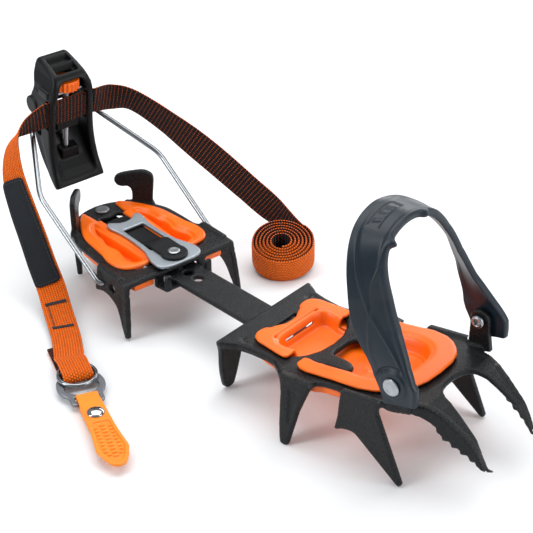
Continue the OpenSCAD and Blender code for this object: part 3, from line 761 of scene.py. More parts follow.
# Points folded down from the rear edge, (y, z)
REAR_POINT = curve([
    (16, 1), (16.9, -6), (21.4, -21), (24.2, -28.6), (25.4, -30.8), (27, -31.3), (29.6, -31.3),
    (31.4, -30.2), (32.6, -27.6), (34.2, -19), (34.5, -8), (34.5, 1)], 4)
# The rest of the folded parts are outlines in (x, z).
SPLAYED_POINT = flat([
    (43.4, 0.8), (43.6, -3), (46.2, -8.6), (50.4, -26), (52.2, -32.4), (53.3, -33.4),
    (54.8, -33.4), (55.6, -31.6), (57.9, -14), (60.9, -3), (62.6, 1.6)])
SPLAYED_GROOVE = flat([(50.6, -5), (56, -5), (54.4, -22), (53.6, -22)])
THIRD_POINT = flat([
    (79.4, 7.6), (78.4, 1), (77.7, -8), (76.4, -14.6), (75.9, -16.4), (77.2, -16.7), (80, -15),
    (83.4, -13.8), (86.4, -13.4), (88.6, -13.9), (90.8, -15.4), (112.9, -31.0), (114.3, -31.6),
    (115.4, -31.2), (115.6, -29.9), (100.4, 3), (100.2, 6), (101, 9.4), (102.4, 11.4)])
FLANGE_TOP = [(107.5, 8.6), (113, 11.3), (120.2, 12.3), (126.3, 10.9), (132.5, 7.4), (138.6, 3.3),
              (143.8, -0.3), (147.2, -4.6), (151.6, -12.6), (149.6, -12.4), (147.8, -11.2)]
FLANGE_TEETH = [(147.8, -11.2), (144.6, -9.6), (139.8, -7.3), (135.3, -5.1), (130.6, -2.8),
                (126.1, -0.3)]
FLANGE_FOOT = [(126.4, 0.9), (125.8, 3.2), (122.4, 4.9), (118, 6.0), (113.5, 6.0), (108.8, 4.6)]
TOE_TAB = flat([(104.4, 7.5), (104.6, 18), (104.7, 25.7), (115.3, 25.7), (115.6, 20),
                (117.2, 10.2)])


def front_sheet(solid):
    _, x, y, z = solid.window()
    holes = np.minimum.reduce([polygon(x, y, hole) for hole in FRONT_OPENINGS])
    sheet = soft_cut(polygon(x, y, FRONT_OUTLINE), holes, 0.8)
    xs = solid.ticks[0]
    top = np.interp(xs, [0, 100] + [p[0] for p in FRONT_TOP], [0, 0] + [p[1] for p in FRONT_TOP])
    top = top.astype(F32)[:, None, None]
    slope = np.gradient(top[:, 0, 0], xs)[:, None, None]
    level = (1 / np.sqrt(1 + slope ** 2)).astype(F32)
    thick = np.interp(xs, [0, 112, 138, 150], [SHEET, SHEET, 2.6, 1.4])
    thick = thick.astype(F32)[:, None, None]
    height = (np.abs(z - top + thick / 2) - thick / 2) * level
    solid.add(lambda x, y, z: extrude(sheet, height, 1.15))


def waist_flange(solid):
    """rim turned down along the outline between the rear corners and the splayed points"""
    def rim(x, y, z):
        band = np.abs(polygon(x, y, FRONT_OUTLINE) + 1.5) - 1.4
        return extrude(np.maximum(band, np.abs(x - 22) - 20), slab(z, -4.4, -0.4), 0.9)
    solid.add(rim, (1, 26, -5), (44, 39, 0), 1.2)


def splayed_points(solid):
    """points leaning outward, each with a groove on its outer face"""
    def leaning(y, z):
        return turned(y, z, (36.0, -0.2), 15)

    def blade(x, y, z):
        outward, down = leaning(y, z)
        return extrude(polygon(x, down, SPLAYED_POINT), np.abs(outward - 0.1) - SHEET / 2, 0.8)

    def groove(x, y, z):
        outward, down = leaning(y, z)
        return np.maximum(polygon(x, down, SPLAYED_GROOVE), np.abs(outward - 2.1) - 0.95)
    solid.add(blade, (42, 33, -36), (64, 48, 3), FOLD_BLEND)
    solid.cut(groove, (48, 33, -30), (58, 48, 0), 0.8)


def serrated_flanges(solid):
    """outer flanges of the front points, toothed below"""
    outline = list(FLANGE_TOP)
    for (x0, z0), (x1, z1) in zip(FLANGE_TEETH[:-1], FLANGE_TEETH[1:]):
        outline += [(x0 - 0.9, z0 + 0.1), (x0 - 1.5, z0 + 1.9),
                    (x0 + (x1 - x0) * 0.55, z0 + (z1 - z0) * 0.55 + 1.75), (x1 + 1.2, z1 + 0.35)]
    outline = flat(outline + FLANGE_FOOT)
    hinge_x, hinge_y = 113, 26.2

    def flange(x, y, z):
        along, outward = turned(x, y, (hinge_x, hinge_y), -12.6)
        return extrude(polygon(along + hinge_x, z, outline), np.abs(outward - 1.2) - 1.45, 0.4)
    solid.add(flange, (105, 14, -32), (152, 32, 4), 1.2)


def toe_tabs(solid):
    """upright ears for the toe rivets"""
    pivot = flat([(TOE_PIVOT_X, TOE_PIVOT_Z)])[0]

    def ear(x, y, z):
        outline = np.minimum(polygon(x, z, TOE_TAB), disc(x, z, 5.4, pivot))
        return extrude(outline, np.abs(y - 32.5) - SHEET / 2, 0.6)
    solid.add(ear, (102, 30, -6), (118, 35, 20), FOLD_BLEND)
    solid.cut(lambda x, y, z: np.maximum(disc(x, z, 2.55, pivot), 30 - y),
              (105, 30, 5), (112, 36, 20), 0.3)


def front_platform():
    solid = Solid((-1.2, 0, -44.5), (152, 48.5, 21), 0.58)
    front_sheet(solid)
    solid.add(lambda x, y, z: extrude(polygon(y, z, REAR_POINT), np.abs(x - 1.6) - 1.5, 0.75),
              (0, 14, -32), (3.3, 36, 2), FOLD_BLEND)
    waist_flange(solid)
    splayed_points(solid)
    solid.add(plate_y(THIRD_POINT, 34.8, SHEET / 2, 0.7), (74, 31, -46), (112, 38, 4), FOLD_BLEND)
    serrated_flanges(solid)
    toe_tabs(solid)
    # rounded fold at the rear edge
    solid.trim(lambda x, y, z: extrude(-x, z, 2.3), (-2, -1, -5), (8, 48, 3))
    # pressed dimples beside the rear corners
    solid.cut(ellipsoid((9.5, 25.4, 0.7), (1.5, 2.1, 1.15)), (6, 21, -2), (13, 30, 2), 0.9)
    solid.cut(ellipsoid((12.4, 27.4, 0.5), (1.1, 1.0, 0.9)), (9, 24, -2), (16, 31, 2), 0.7)
    # short lip turned down at the rear edge of the opening
    solid.add(box((20.0, 0, -3.6), (0.75, 13.5, 3.2), 0.4), (18, -1, -8), (22, 15, 0), 0.6)
    put("front_platform_steel", bent(solid.mesh()), STEEL, "steel_black", "front_section", WORLD,
        "front_platform")


# Front snow plate, half outlines (x, y): the two rims, the tray's edge, the lips below
TRAY_RIMS = [
    [(19.4, -2), (19, 4), (16.2, 9.4), (15.6, 11.6), (13.7, 13.2), (13.0, 16), (13.1, 19.6),
     (14.6, 22.6), (18, 24.6), (26, 25.5), (32, 26.3), (36.2, 26.5), (38.8, 24.8), (39.3, 22),
     (39.0, 19.2), (37.6, 18.2), (22.4, 17), (22.4, -2)],
    [(47, 20), (44.6, 21.6), (44.2, 24), (45.4, 27), (49.4, 29.6), (54, 30.5), (62, 30.4),
     (70, 30.2), (78, 30.7), (86, 31), (95, 29.2), (101, 26), (105.4, 22), (109.2, 17),
     (111.4, 10), (112, 0), (112, -2), (97, -2), (97, 9), (92, 16), (84, 20), (70, 19.8),
     (56, 20.4)]]
TRAY = [(22.6, -12)] + curve([
    (22.6, -6), (22.6, 6), (22.9, 14), (24.4, 18), (28, 20), (34, 19.7), (40, 18.4), (46, 18.8),
    (51, 20.6), (57, 21.6), (64, 21.6), (74, 21.4), (82, 21.9), (89, 20.8), (94.6, 17.4),
    (98.4, 12), (100.2, 5), (100.4, -5)], 4, closed=False) + [(100.4, -12)]
TRAY_LIPS = [
    [(21.5, 15), (20.6, 25.8), (27, 27.2), (34, 28.2), (41, 31.6), (46, 33.4), (50, 33.4),
     (52, 20), (22, 15)],
    [(50, 20), (50, 33.4), (60, 33), (64, 31.4), (76, 31), (92, 29.6), (97, 27), (101, 20),
     (103, 10), (103.4, -2), (99, -2), (96, 12), (88, 19.6), (60, 20)]]


def sheet_height(solid, z, middle, half):
    """distance to a thin sheet about the surface z = middle(x, y)"""
    slope_x, slope_y = np.gradient(middle[:, :, 0], solid.cell)
    level = (1 / np.sqrt(1 + slope_x * slope_x + slope_y * slope_y)).astype(F32)[:, :, None]
    return np.abs(z - middle.astype(F32)) * level - half


def front_snow_plate():
    solid = Solid((11, 0, -10), (116, 33, 4), 0.6)
    _, x, y, z = solid.window()
    tray = polygon(x, y, TRAY)
    rim = np.minimum(*[polygon(x, y, outline) for outline in TRAY_RIMS])
    # rim, a first soft ledge, then the wall down to the floor
    middle = 1.45 - 1.0 * fade(tray, 1.6, -0.4) - 7.2 * fade(tray, -0.2, -4.2)
    forward = fade(-x, -52, -60)
    middle = middle + forward * (0.9 * np.exp(-((tray + 6.4) / 1.6) ** 2)
                                 - 0.5 * fade(tray, -7.5, -10))
    height = sheet_height(solid, z, middle, 0.85)
    area = np.minimum(rim, tray - 0.6)
    solid.add(lambda x, y, z: extrude(area, height, 0.75))

    # room for the steel's cross member
    def side_gap(x, y, z):
        ahead = x - 45.2 - np.maximum(0, (19.5 - y)) * 0.9
        return np.maximum(np.maximum(37.9 - x, ahead), -3.4 - z)

    def middle_gap(x, y, z):
        return np.maximum(np.maximum(37 - x, x - 55), np.maximum(y - 20.6, -3.4 - z))
    solid.cut(side_gap, (34, -1, -4), (66, 34, 4), 0.3)
    solid.cut(middle_gap, (34, -1, -4), (58, 22, 4), 0.3)
    lip = np.minimum(*[polygon(x, y, outline) for outline in TRAY_LIPS])
    lip = np.maximum(lip, -(tray + 1.4))
    solid.add(lambda x, y, z: extrude(lip, slab(z, -7.4, -3.15), 0.9), blend=0.8)
    # cross slot in the rear wall, small pip on the floor
    solid.cut(box((25.4, 0, -2.4), (3.6, 10.8, 0.75), 0.5), (20, -1, -6), (31, 13, 1), 0.4)
    solid.add(ball((72, 6, -8.6), 2.6), (68, 2, -10), (76, 10, -4), 0.8)
    put("front_snow_plate", bent(solid.mesh()), ORANGE, "antiball_orange", "front_section", WORLD,
        "front_antiball_plate")


def linking_bar():
    """flat bar with a row of holes and an upright end at the front"""
    solid = Solid((-40, 0, -7), (90, 11, 1), 0.5)
    outline = [(-38.4, -2), (-38.4, 6), (-35, 10), (82, 10), (88, 8), (88, -2)]
    solid.add(plate_z(outline, -6.2, -3.2, 0.75))
    solid.add(box((85.5, 0, -1.9), (0.9, 7.4, 2.0), 0.5), (84, -1, -5), (87, 9, 1), 0.6)
    pitch = 8.2
    for i in range(7):
        hole_x = 3 + pitch * (2 - i)

        def hole(x, y, z):
            chamfer = 0.5 * fade(np.abs(np.abs(z + 4.7) - 1.5), 0.6, 0)
            return disc(x, y, 2.7, (hole_x, 0)) - chamfer
        solid.cut(hole, (hole_x - 4, -1, -8), (hole_x + 4, 4, 0), 0.3)
    put("linking_bar_steel", solid.mesh(), STEEL, "steel_black", "front_section", BAR,
        "linking_bar")


def toe_rivets():
    """wide flat heads outside, rolled tube ends inside; profiles (radius, distance from Y = 0)"""
    head = [(0, 39.1), (3.9, 39.1), (4.3, 39.4), (4.35, 39.8), (4.0, 40.25), (3.2, 40.42),
            (2.7, 40.3), (2.45, 40.12), (1.2, 40.06), (0, 40.04)]
    shank = [(0, 29.9), (1.5, 29.9), (1.5, 29.0), (1.62, 28.5), (2.0, 28.25), (2.6, 28.3),
             (3.1, 28.7), (3.3, 29.3), (3.2, 29.9), (2.5, 30.0), (2.5, 39.3), (0, 39.3)]
    verts, faces = joined(lathe(head, 56), lathe(shank, 40))
    parts = []
    for side in (1, -1):
        placed = np.stack([verts[:, 0] + TOE_PIVOT_X, side * verts[:, 2],
                           verts[:, 1] + TOE_PIVOT_Z], 1)
        parts.append((placed, [face if side < 0 else face[::-1] for face in faces]))
    put("toe_basket_rivets", joined(*parts), ZINC, "rivet_steel", "front_section", WORLD,
        "toe_rivets", sharp=35)


# ------------------------------------------------------------------ heel section (heel frame)
REAR_RIVET_X = -68
# Half outlines (x, y)
HEEL_OUTLINE = half_outline([
    (6.2, 0), (6.2, 20), (6.2, 32.6), (5.2, 34.6), (2, 35.2), (-6, 35.3), (-15, 35.0),
    (-19.5, 34.2), (-25, 32.8), (-32, 32.4), (-42, 32.0), (-49, 31.2), (-54, 29.3), (-60, 26.3),
    (-66, 21.4), (-71, 15.4), (-74.4, 8), (-75.6, 0)], 4, sharp=(2,))
HEEL_OPENING = half_outline([
    (-3.6, 0), (-3.4, 12), (-3.8, 19), (-6.6, 23.4), (-12, 25.4), (-18, 25.2), (-25, 23.4),
    (-33, 23.6), (-40, 23.2), (-47, 22), (-52, 18.6), (-55.6, 15.4), (-56, 12), (-56.4, 9.9),
    (-58.8, 8.0), (-61.4, 5.8), (-60.6, 2.4), (-60, 0)], 4)
# Folded parts: side spur (x, z); rear point and rear tab (along the fold, z)
SIDE_SPUR = curve([
    (-20.4, 1.0), (-21.2, -6), (-21.7, -13.4), (-20.6, -14.7), (-14, -12.8), (-7.4, -13.6),
    (-1.2, -17.2), (3.1, -25.0), (6.3, -31.2), (8.0, -31.7), (9.2, -31), (8.7, -24), (7.8, -14),
    (6.6, -5), (6.2, 1.0)], 4, sharp=(0, 2, 3, 9, 10, 11, 14))
HEEL_REAR_POINT = curve([
    (-15.8, 1), (-14.2, -8), (-12.2, -18), (-9.8, -30.4), (-8.9, -31.7), (-7.7, -31.3),
    (-5.0, -20), (-2.0, -9), (-0.2, -3), (0.6, 1)], 4, sharp=(0, 4, 5, 9))
REAR_TAB = curve([
    (0, -1.6), (0.6, 8), (1.2, 16.0), (0.4, 19.4), (-2.4, 21.2), (-6, 21.7), (-13, 20.3),
    (-18.6, 18.6), (-21.2, 16.6), (-21.7, 13.8), (-20, 11.2), (-17, 10.6), (-14.0, 10.8),
    (-12.2, 9.2), (-11.6, 6), (-12, -1.6)], 5, sharp=(0, 15))


def side_spurs(solid):
    def spur(x, y, z):
        outward, down = turned(y, z, (33.6, 0), 5)
        return extrude(polygon(x, down, SIDE_SPUR), np.abs(outward - 1.5) - SHEET / 2, 0.75)

    def bail_hole(x, y, z):
        chamfer = 0.5 * fade(-np.abs(y - 35.6), -0.9, -1.8)
        return disc(x, z, 2.35, (-6.2, -7.3)) - chamfer
    solid.add(spur, (-23, 31, -33), (11, 40, 2), FOLD_BLEND)
    solid.cut(bail_hole, (-10, 29, -12), (-2, 41, -3), 0.3)
    solid.cut(lambda x, y, z: disc(x, z, 1.62, (-14.2, -7.4)), (-17, 29, -11), (-11, 41, -4), 0.2)
    # stamped groove down the spur
    solid.cut(capsule((1.6, 39.0, -8), (5.6, 40.9, -24), 1.9), (-2, 35, -28), (10, 44, -4), 0.8)


def heel_platform():
    solid = Solid((-84, 0, -33.5), (14.5, 47, 24), 0.56)

    def sheet(x, y, z):
        outline = soft_cut(polygon(x, y, HEEL_OUTLINE), polygon(x, y, HEEL_OPENING), 0.6)
        return extrude(outline, slab(z, -SHEET, 0), 1.15)

    def rear_fold(outline, edge):
        """upright sheet across the rear corner, rising or falling from the platform"""
        def field(x, y, z):
            along, outward = turned(x, y, (-57, 27.6), 42)
            return extrude(polygon(along, z, outline), np.abs(outward + 0.9) - SHEET / 2, edge)
        return field
    solid.add(sheet)
    side_spurs(solid)
    solid.add(rear_fold(HEEL_REAR_POINT, 0.75), (-74, 12, -33), (-52, 32, 2), FOLD_BLEND)
    solid.add(rear_fold(REAR_TAB, 0.8), (-78, 9, -2), (-53, 32, 24), FOLD_BLEND)
    # hanger that carries the bar: side clips joined beneath
    clip = [(4, 11.5), (13.2, 11.5), (13.4, 15.4), (4, 16.8)]
    solid.add(plate_z(clip, -9.4, 0.2, 1.2), (2, 10, -11), (15, 18, 1), 1.6)
    solid.add(box((9.5, 0, -8.15), (3.6, 14.4, 1.25), 0.7), (5, -1, -10), (14, 16, -6), 0.8)
    solid.cut(bore(2.5, REAR_RIVET_X), (-72, -1, -5), (-64, 4, 2), 0.2)
    # small dimple on the rear bridge, crease behind each side spur
    solid.cut(ball((-61.3, 9.6, 0.9), 1.5), (-65, 6, -1), (-58, 13, 2), 0.8)
    solid.cut(capsule((-24, 31.2, 1.5), (-36, 29.0, 1.6), 1.9), (-40, 26, -2), (-20, 34, 3), 1.2)
    # rounded fold at the front edge
    solid.trim(lambda x, y, z: extrude(x - 6.2, z, 2.2), (2, -1, -5), (9, 40, 2))
    put("heel_platform_steel", solid.mesh(), STEEL, "steel_black", "heel_section", HEEL,
        "heel_platform")


# Heel snow plate on the +Y side, outlines (x, y): sunken well, whole plate, lip below
HEEL_WELL = [(-7.6, 10.8)] + curve([
    (-7.4, 16.6), (-8.8, 20.6), (-12.4, 22.8), (-17.4, 23.0), (-21.8, 21.6), (-26.6, 20.8),
    (-31.6, 21.9), (-36.6, 21.9), (-41, 20.4), (-46, 20.0), (-50.8, 18.9), (-55.4, 16.2),
    (-56.6, 14.4)], 4, closed=False) + [(-56.4, 13.2), (-38, 12.0)]
HEEL_PLATE = curve([
    (-71, 11), (-68.6, 14.2), (-64.6, 17.6), (-60, 20.6), (-54, 23.6), (-46, 26.4), (-35, 27.8),
    (-27, 28.6), (-21, 30.0), (-14, 30.2), (-8.4, 28.2), (-5.4, 24.4), (-4.2, 19), (-4.6, 12.9),
    (-10, 12.0), (-20, 11.5), (-30, 11.0), (-40, 10.3), (-50, 9.7), (-60, 9.4), (-67, 10.0)], 4)
HEEL_INNER_STRIP = [(-58.6, 7.3), (-8, 7.3), (-8, 14), (-58.6, 14)]
HEEL_LIP = [
    (4.4, 17.0), (4.0, 29.2), (-2, 30), (-10, 29.9), (-20, 30.6), (-30, 30.4), (-44, 29.4),
    (-54, 25.6), (-54, 19.4), (-44, 21.4), (-30, 22.4), (-16, 24.0), (-7.4, 21.6), (-4.4, 17.0)]


def heel_snow_plates():
    solid = Solid((-73.5, 6.6, -9.4), (6.5, 32.6, 3.2), 0.46, mirrored=False)
    _, x, y, z = solid.window()
    well = polygon(x, y, HEEL_WELL)
    outer = np.minimum(polygon(x, y, HEEL_PLATE), polygon(x, y, HEEL_INNER_STRIP))
    middle = 0.95 - 1.5 * fade(well, 1.2, -1.0) - 5.2 * fade(well, -1.2, -3.6)
    middle = (middle + 0.22 * np.exp(-((well - 2.2) / 1.1) ** 2)
              - 0.5 * fade(outer, -1.4, 0.2) - 0.55 * fade(y, 12.8, 10.8))
    height = sheet_height(solid, z, middle, 0.8)
    solid.add(lambda x, y, z: extrude(outer, height, 0.7))
    solid.add(plate_z(HEEL_LIP, -7.5, -3.3, 0.9), blend=0.6)
    verts, faces = solid.mesh()
    mirrored = verts * np.array([1, -1, 1]), faces[:, ::-1].copy()
    for side, mesh in (("left", (verts, faces)), ("right", mirrored)):
        put(f"heel_snow_plate_{side}", mesh, ORANGE, "antiball_orange", "heel_section", HEEL,
            f"heel_antiball_{side}")


def rear_rivet():
    """wide flat rivet with a bevelled edge; profile (radius, z)"""
    profile = [(0, -9.2), (3.6, -9.2), (4.1, -8.9), (4.2, -8.5), (4.0, -8.1), (2.45, -8.0),
               (2.45, 0.0), (3.55, 0.04), (3.9, 0.3), (3.95, 0.8), (3.75, 1.2), (3.2, 1.36),
               (2.6, 1.30), (1.2, 1.26), (0, 1.25)]
    put_turned("rear_rivet_zinc", profile, 56, REAR_RIVET_X, ZINC, "heel_section", HEEL,
               "rear_rivet", sharp=40)


def spring_leaf():
    """one strip, cranked twice, ending in a disc; side view (x, z)"""
    solid = Solid((-76.5, 0, -7), (9, 9.6, 6.4), 0.34)
    strip = curve([
        (-75, -5.5), (-66, -5.5), (-60.5, -5.2), (-56.4, -2.6), (-53, -0.8), (-48, -0.6),
        (-24, -0.6), (-19.6, -0.1), (-15.6, 2.3), (-12.6, 3.3), (-6, 3.35), (0, 3.35), (0, 4.8),
        (-7, 4.8), (-13.4, 4.8), (-16.8, 3.7), (-20.4, 1.5), (-24.6, 0.85), (-48, 0.85),
        (-53.6, 0.7), (-57.6, -1.4), (-61.2, -3.9), (-66, -4.05), (-75, -4.05)],
        3, sharp=(0, 11, 12, 23))
    solid.add(plate_y(strip, 0, 6.9, 0.5))
    solid.add(lambda x, y, z: extrude(disc(x, y, 7.55, (0.2, 0)), slab(z, 3.35, 4.82), 0.5),
              blend=0.3)
    solid.cut(bore(3.3, REAR_RIVET_X), (-72, -1, -7), (-64, 5, -2), 0.2)
    solid.cut(bore(2.5), (-3, -1, 2), (3, 4, 6), 0.15)
    put("spring_leaf_black", solid.mesh(), SPRING, "spring_black", "lock", HEEL,
        "lock_spring_leaf")


def lock_plate():
    """window plate with concave flanks, rising a little to the rear; half outlines (x, y)"""
    solid = Solid((-50.5, 0, 0.6), (10, 15.4, 4.2), 0.33)
    outline = half_outline([
        (-44.6, 0), (-45.4, 3.8), (-48.2, 7.6), (-48.9, 9.4), (-47.4, 11.0), (-44, 11.2),
        (-39, 10.2), (-34, 9.6), (-28, 9.4), (-22, 9.7), (-16.5, 10.2), (-12, 10.9), (-8, 12.2),
        (-3, 13.8), (1.2, 14.4), (4.8, 14.1), (7.4, 12.2), (8.6, 8.8), (9, 4.4), (9, 0)], 4)
    opening = [(-38, -2), (-38, 6.2), (-37.4, 6.7), (-11.2, 7.3), (-10.6, 6.8), (-10.6, -2)]

    def plate(x, y, z):
        lift = 0.5 * fade(-x, 36, 49)
        area = soft_cut(polygon(x, y, outline), polygon(x, y, opening), 0.3)
        return extrude(area, slab(z - lift, 1.5, 3.3), 0.5)
    solid.add(plate)
    solid.cut(bore(2.5), (-3, -1, 0), (3, 4, 5), 0.15)
    solid.cut(bore(2.5, 3), (0, -1, 0), (7, 4, 5), 0.15)
    put("lock_plate_grey", solid.mesh(), BLASTED, "lock_plate_steel", "lock", HEEL,
        "lock_lever_plate")


def lock_rivet():
    profile = [(0, 0.25), (2.1, 0.25), (2.4, 0.5), (2.4, 4.84), (3.0, 4.86), (3.32, 5.06),
               (3.34, 5.34), (3.0, 5.62), (2.3, 5.74), (1.9, 5.64), (0.9, 5.6), (0, 5.6)]
    put_turned("lock_rivet_zinc", profile, 48, 0, ZINC, "lock", HEEL, "lock_rivet", sharp=40)


# ------------------------------------------------------------------ toe basket
# Middle line of the arch seen along X, (y, z), from the foot at -Y over to the one at +Y
BASKET_ARCH = [
    (-36.4, 12), (-36.4, 30), (-37, 46), (-37.4, 62), (-36.2, 77), (-32, 87.5), (-24.5, 94),
    (-13, 96.6), (0, 94), (10.5, 87.6), (20, 78), (27, 66), (31.6, 53), (35, 39.5), (36.4, 30),
    (36.4, 12)]
# Rear and front edges of the band seen from the side, (z, x)
BASKET_REAR = [(12, 104.8), (14, 104.4), (21, 101.5), (29, 97), (38, 92), (46.5, 88), (58, 84.5),
               (70, 82.4), (83, 79.6), (100, 76)]
BASKET_FRONT = [(12, 122.6), (19, 122.6), (28, 121.8), (35, 119.6), (45, 115.4), (56, 110.5),
                (67, 106.5), (77, 103), (88, 99.6), (100, 97)]
BASKET_ROWS, BASKET_COLUMNS = 560, 84


def soft_step(value):
    """1 well below zero, 0 well above"""
    return 1 / (1 + np.exp(value))


def basket_line(rows):
    """evenly spaced run, y, z and unit normal of the arch"""
    line = resample(curve(BASKET_ARCH, 12, closed=False), 0.05)
    length = arc_length(line)
    run = np.linspace(0, length[-1], rows)
    y, z = np.interp(run, length, line[:, 0]), np.interp(run, length, line[:, 1])
    reach = 30
    kernel = np.exp(-(np.arange(-reach, reach + 1) / 12.0) ** 2)
    kernel /= kernel.sum()
    tangent_y, tangent_z = (
        np.convolve(np.pad(np.gradient(axis, run), reach, mode="edge"), kernel, mode="valid")
        for axis in (y, z))
    length = np.hypot(tangent_y, tangent_z)
    return run, y, z, -tangent_z / length, tangent_y / length


def toe_basket():
    """band swept over the arch: outer and inner skins, with relief on the outer one"""
    rows, columns = int(BASKET_ROWS / COARSE), int(BASKET_COLUMNS / COARSE)
    run, arch_y, arch_z, normal_y, normal_z = basket_line(rows)
    even = np.linspace(0, 1, columns)
    # share runs from the rear edge (0) to the front edge (1), closer spaced at both
    Run, share = np.meshgrid(run, 0.6 * even + 0.4 * (0.5 - 0.5 * np.cos(even * math.pi)),
                             indexing="ij")
    Y = np.broadcast_to(arch_y[:, None], Run.shape)
    level = np.broadcast_to(arch_z[:, None], Run.shape)
    foot = 14.0 + 5.0 * share
    Z = np.where(level < 30, foot + (level - 12) / 18 * (30 - foot), level)

    def by_level(levels, values):
        return np.interp(level, levels, values)

    def edge_x(table):
        edge = np.array(curve([(x, z) for z, x in table], 8, closed=False))
        return np.interp(level, edge[:, 1], edge[:, 0])
    bow = by_level([14, 26, 36, 50, 66, 80, 90, 100], [0, 0, 2.6, 4.2, 4.3, 3.0, 1.0, 0])
    rear, front = edge_x(BASKET_REAR) + bow, edge_x(BASKET_FRONT) - bow
    X = rear + (front - rear) * share
    twist = by_level([14, 30, 40, 52, 66, 80, 90, 100],
                     [0, 0, 2.6, 5.2, 5.6, 3.8, 1.2, 0]) * (1 - 2 * share)
    width = np.hypot(front - rear, 2 * by_level([30, 52, 66, 90], [0, 5.2, 5.6, 0]))
    to_edge = np.minimum(share, 1 - share) * width

    # raised rims, and two ridges that cross the band on either flank
    field = soft_step(-(to_edge - np.where(share < 0.5, 4.2, 2.6)) / 0.35)
    ridge1 = by_level([24, 30, 42, 59, 77.5, 90, 97], [0.97, 0.93, 0.76, 0.49, 0.30, 0.17, 0.12])
    ridge2 = by_level([24, 37, 51, 59, 73, 80, 88, 97],
                      [0.02, 0.14, 0.36, 0.49, 0.66, 0.86, 0.97, 1.0])
    flank = soft_step(-(np.abs(Y) - 17) / 1.6)
    bead1 = np.exp(-(((share - ridge1) * width) / 0.95) ** 2) * flank
    bead2 = np.exp(-(((share - ridge2) * width) / 0.85) ** 2) * flank
    # the field lies a little deeper ahead of the first ridge
    ahead = soft_step(-((share - ridge1) * width) / 0.5)
    depth = -0.55 * field * (0.55 + 0.45 * ahead * flank)
    outer = 2.0 + depth + 0.75 * bead1 * field + 0.6 * bead2 * field

    # boss round the rivet, crescent notch above it
    leg = level < 45
    radius = np.hypot(X - TOE_PIVOT_X, Z - TOE_PIVOT_Z)
    boss = soft_step((radius - 7.2) / 0.22)
    outer = np.where(leg, outer * (1 - boss) + 2.55 * boss, outer)
    angle = np.degrees(np.arctan2(Z - TOE_PIVOT_Z, X - TOE_PIVOT_X))
    notch = (np.exp(-((radius - 8.9) / 0.85) ** 2) * np.clip((angle - 58) / 14, 0, 1)
             * np.clip((170 - angle) / 18, 0, 1))
    outer = outer - np.where(leg, notch, 0)

    def crown_run(y):
        return run[int(np.argmin(np.abs(arch_y - y) + (arch_z < 80) * 100))]
    # recessed panel near the crown with three slanted bars
    along, across = Run - crown_run(-17.5), (share - 0.44) * width
    panel = soft_step(np.maximum(np.abs(along) - 9.2, np.abs(across) - 2.9) / 0.22)
    bars = np.zeros_like(outer)
    for centre in (-5.4, 0.0, 5.4):
        bar = np.maximum(np.abs(along - centre - across * 0.35) - 0.95, np.abs(across) - 1.7)
        bars = np.maximum(bars, soft_step(bar / 0.18))
    outer = outer - 0.55 * panel + 0.5 * bars * panel
    # two bumps on the front edge near the crown, (y, height)
    for bump_y, height in ((-29.0, 3.0), (-4.0, 2.4)):
        X = X + (height * np.exp(-((Run - crown_run(bump_y)) / 1.9) ** 2)
                 * np.clip((share - 0.86) / 0.14, 0, 1) ** 2)
    inner = -2.0 + 0.25 * field
    # round the band's long edges
    rounding = np.sqrt(np.clip(1 - np.clip(1 - to_edge / 1.1, 0, 1) ** 2, 0, 1))
    Y = Y + twist * np.tanh(Y / 12)
    skins = []
    for offset in (outer, inner):
        offset = offset * (0.15 + 0.85 * rounding)
        skins.append(np.stack([X, Y + normal_y[:, None] * offset,
                               Z + normal_z[:, None] * offset], -1))
    verts = np.concatenate([skins[0], skins[1][:, ::-1]], 1).reshape(-1, 3)
    size = 2 * columns
    caps = []
    for base, flip in ((0, False), ((rows - 1) * size, True)):
        for j in range(columns - 1):
            quad = [base + j, base + size - 1 - j, base + size - 2 - j, base + j + 1]
            caps.append(quad[::-1] if flip else quad)
    faces = np.concatenate([ring_quads(rows, size), np.array(caps)])
    if volume_sign(verts[faces]) < 0:
        faces = faces[:, ::-1].copy()
    put("toe_basket_moulded", (verts, faces), BASKET, "basket_plastic", "toe_basket", WORLD,
        "toe_basket", sharp=60)


# ------------------------------------------------------------------ bail and lever
def heel_bail():
    """wire bow from one spur to the other through the lever (heel frame)"""
    half = [(-14.2, 32.8, -7.4), (-14.2, 39.4, -7.4), (-67, 40.4, 24.3),
            (LEVER_X, 20.2, LEVER_Z)]
    corners = [(x, -y, z) for x, y, z in half] + half[::-1]
    path = resample(filleted(corners, [3.2, 22, 3.4, 3.4, 22, 3.2], 14), 1.1)
    put("heel_bail_wire", tube(path, 1.5, 28), WIRE, "bail_steel", "bail", HEEL, "heel_bail",
        sharp=50)


# Side view of the lever and of its hollow, (x, z) in the lever frame
LEVER_PROFILE = curve([
    (20.8, -33), (18.4, -28.4), (16, -24), (13.7, -18), (12, -12), (10.9, -5), (10.4, 2),
    (10.4, 10), (11.0, 17), (11.3, 23), (10.4, 28), (7.6, 31.6), (2.5, 33.8), (-3, 35.4),
    (-7.6, 36.4), (-11, 35.6), (-12.1, 32.4), (-11.4, 27.4), (-8.8, 22.4), (-8.5, 19),
    (-9.4, 16), (-10.4, 8), (-9, 0), (-5.6, -9), (-2, -15), (1.6, -20), (6.2, -25.2),
    (10.6, -29), (14.8, -32.4), (18.4, -34.8)], 4, sharp=(0, 29))
LEVER_HOLLOW = [
    (40, -26.5), (19.2, -30.2), (13.6, -26.8), (9.2, -22.8), (4.6, -17.4), (0.8, -12.4),
    (-2.6, -7.6), (-5.0, -1), (-6.5, 5), (-6.8, 10), (-6.2, 16), (-5.6, 22), (-5.6, 28.2),
    (-4.6, 29.8), (-1, 30.2), (4, 29.8), (7.4, 29.2), (12, 28.0), (40, 21)]
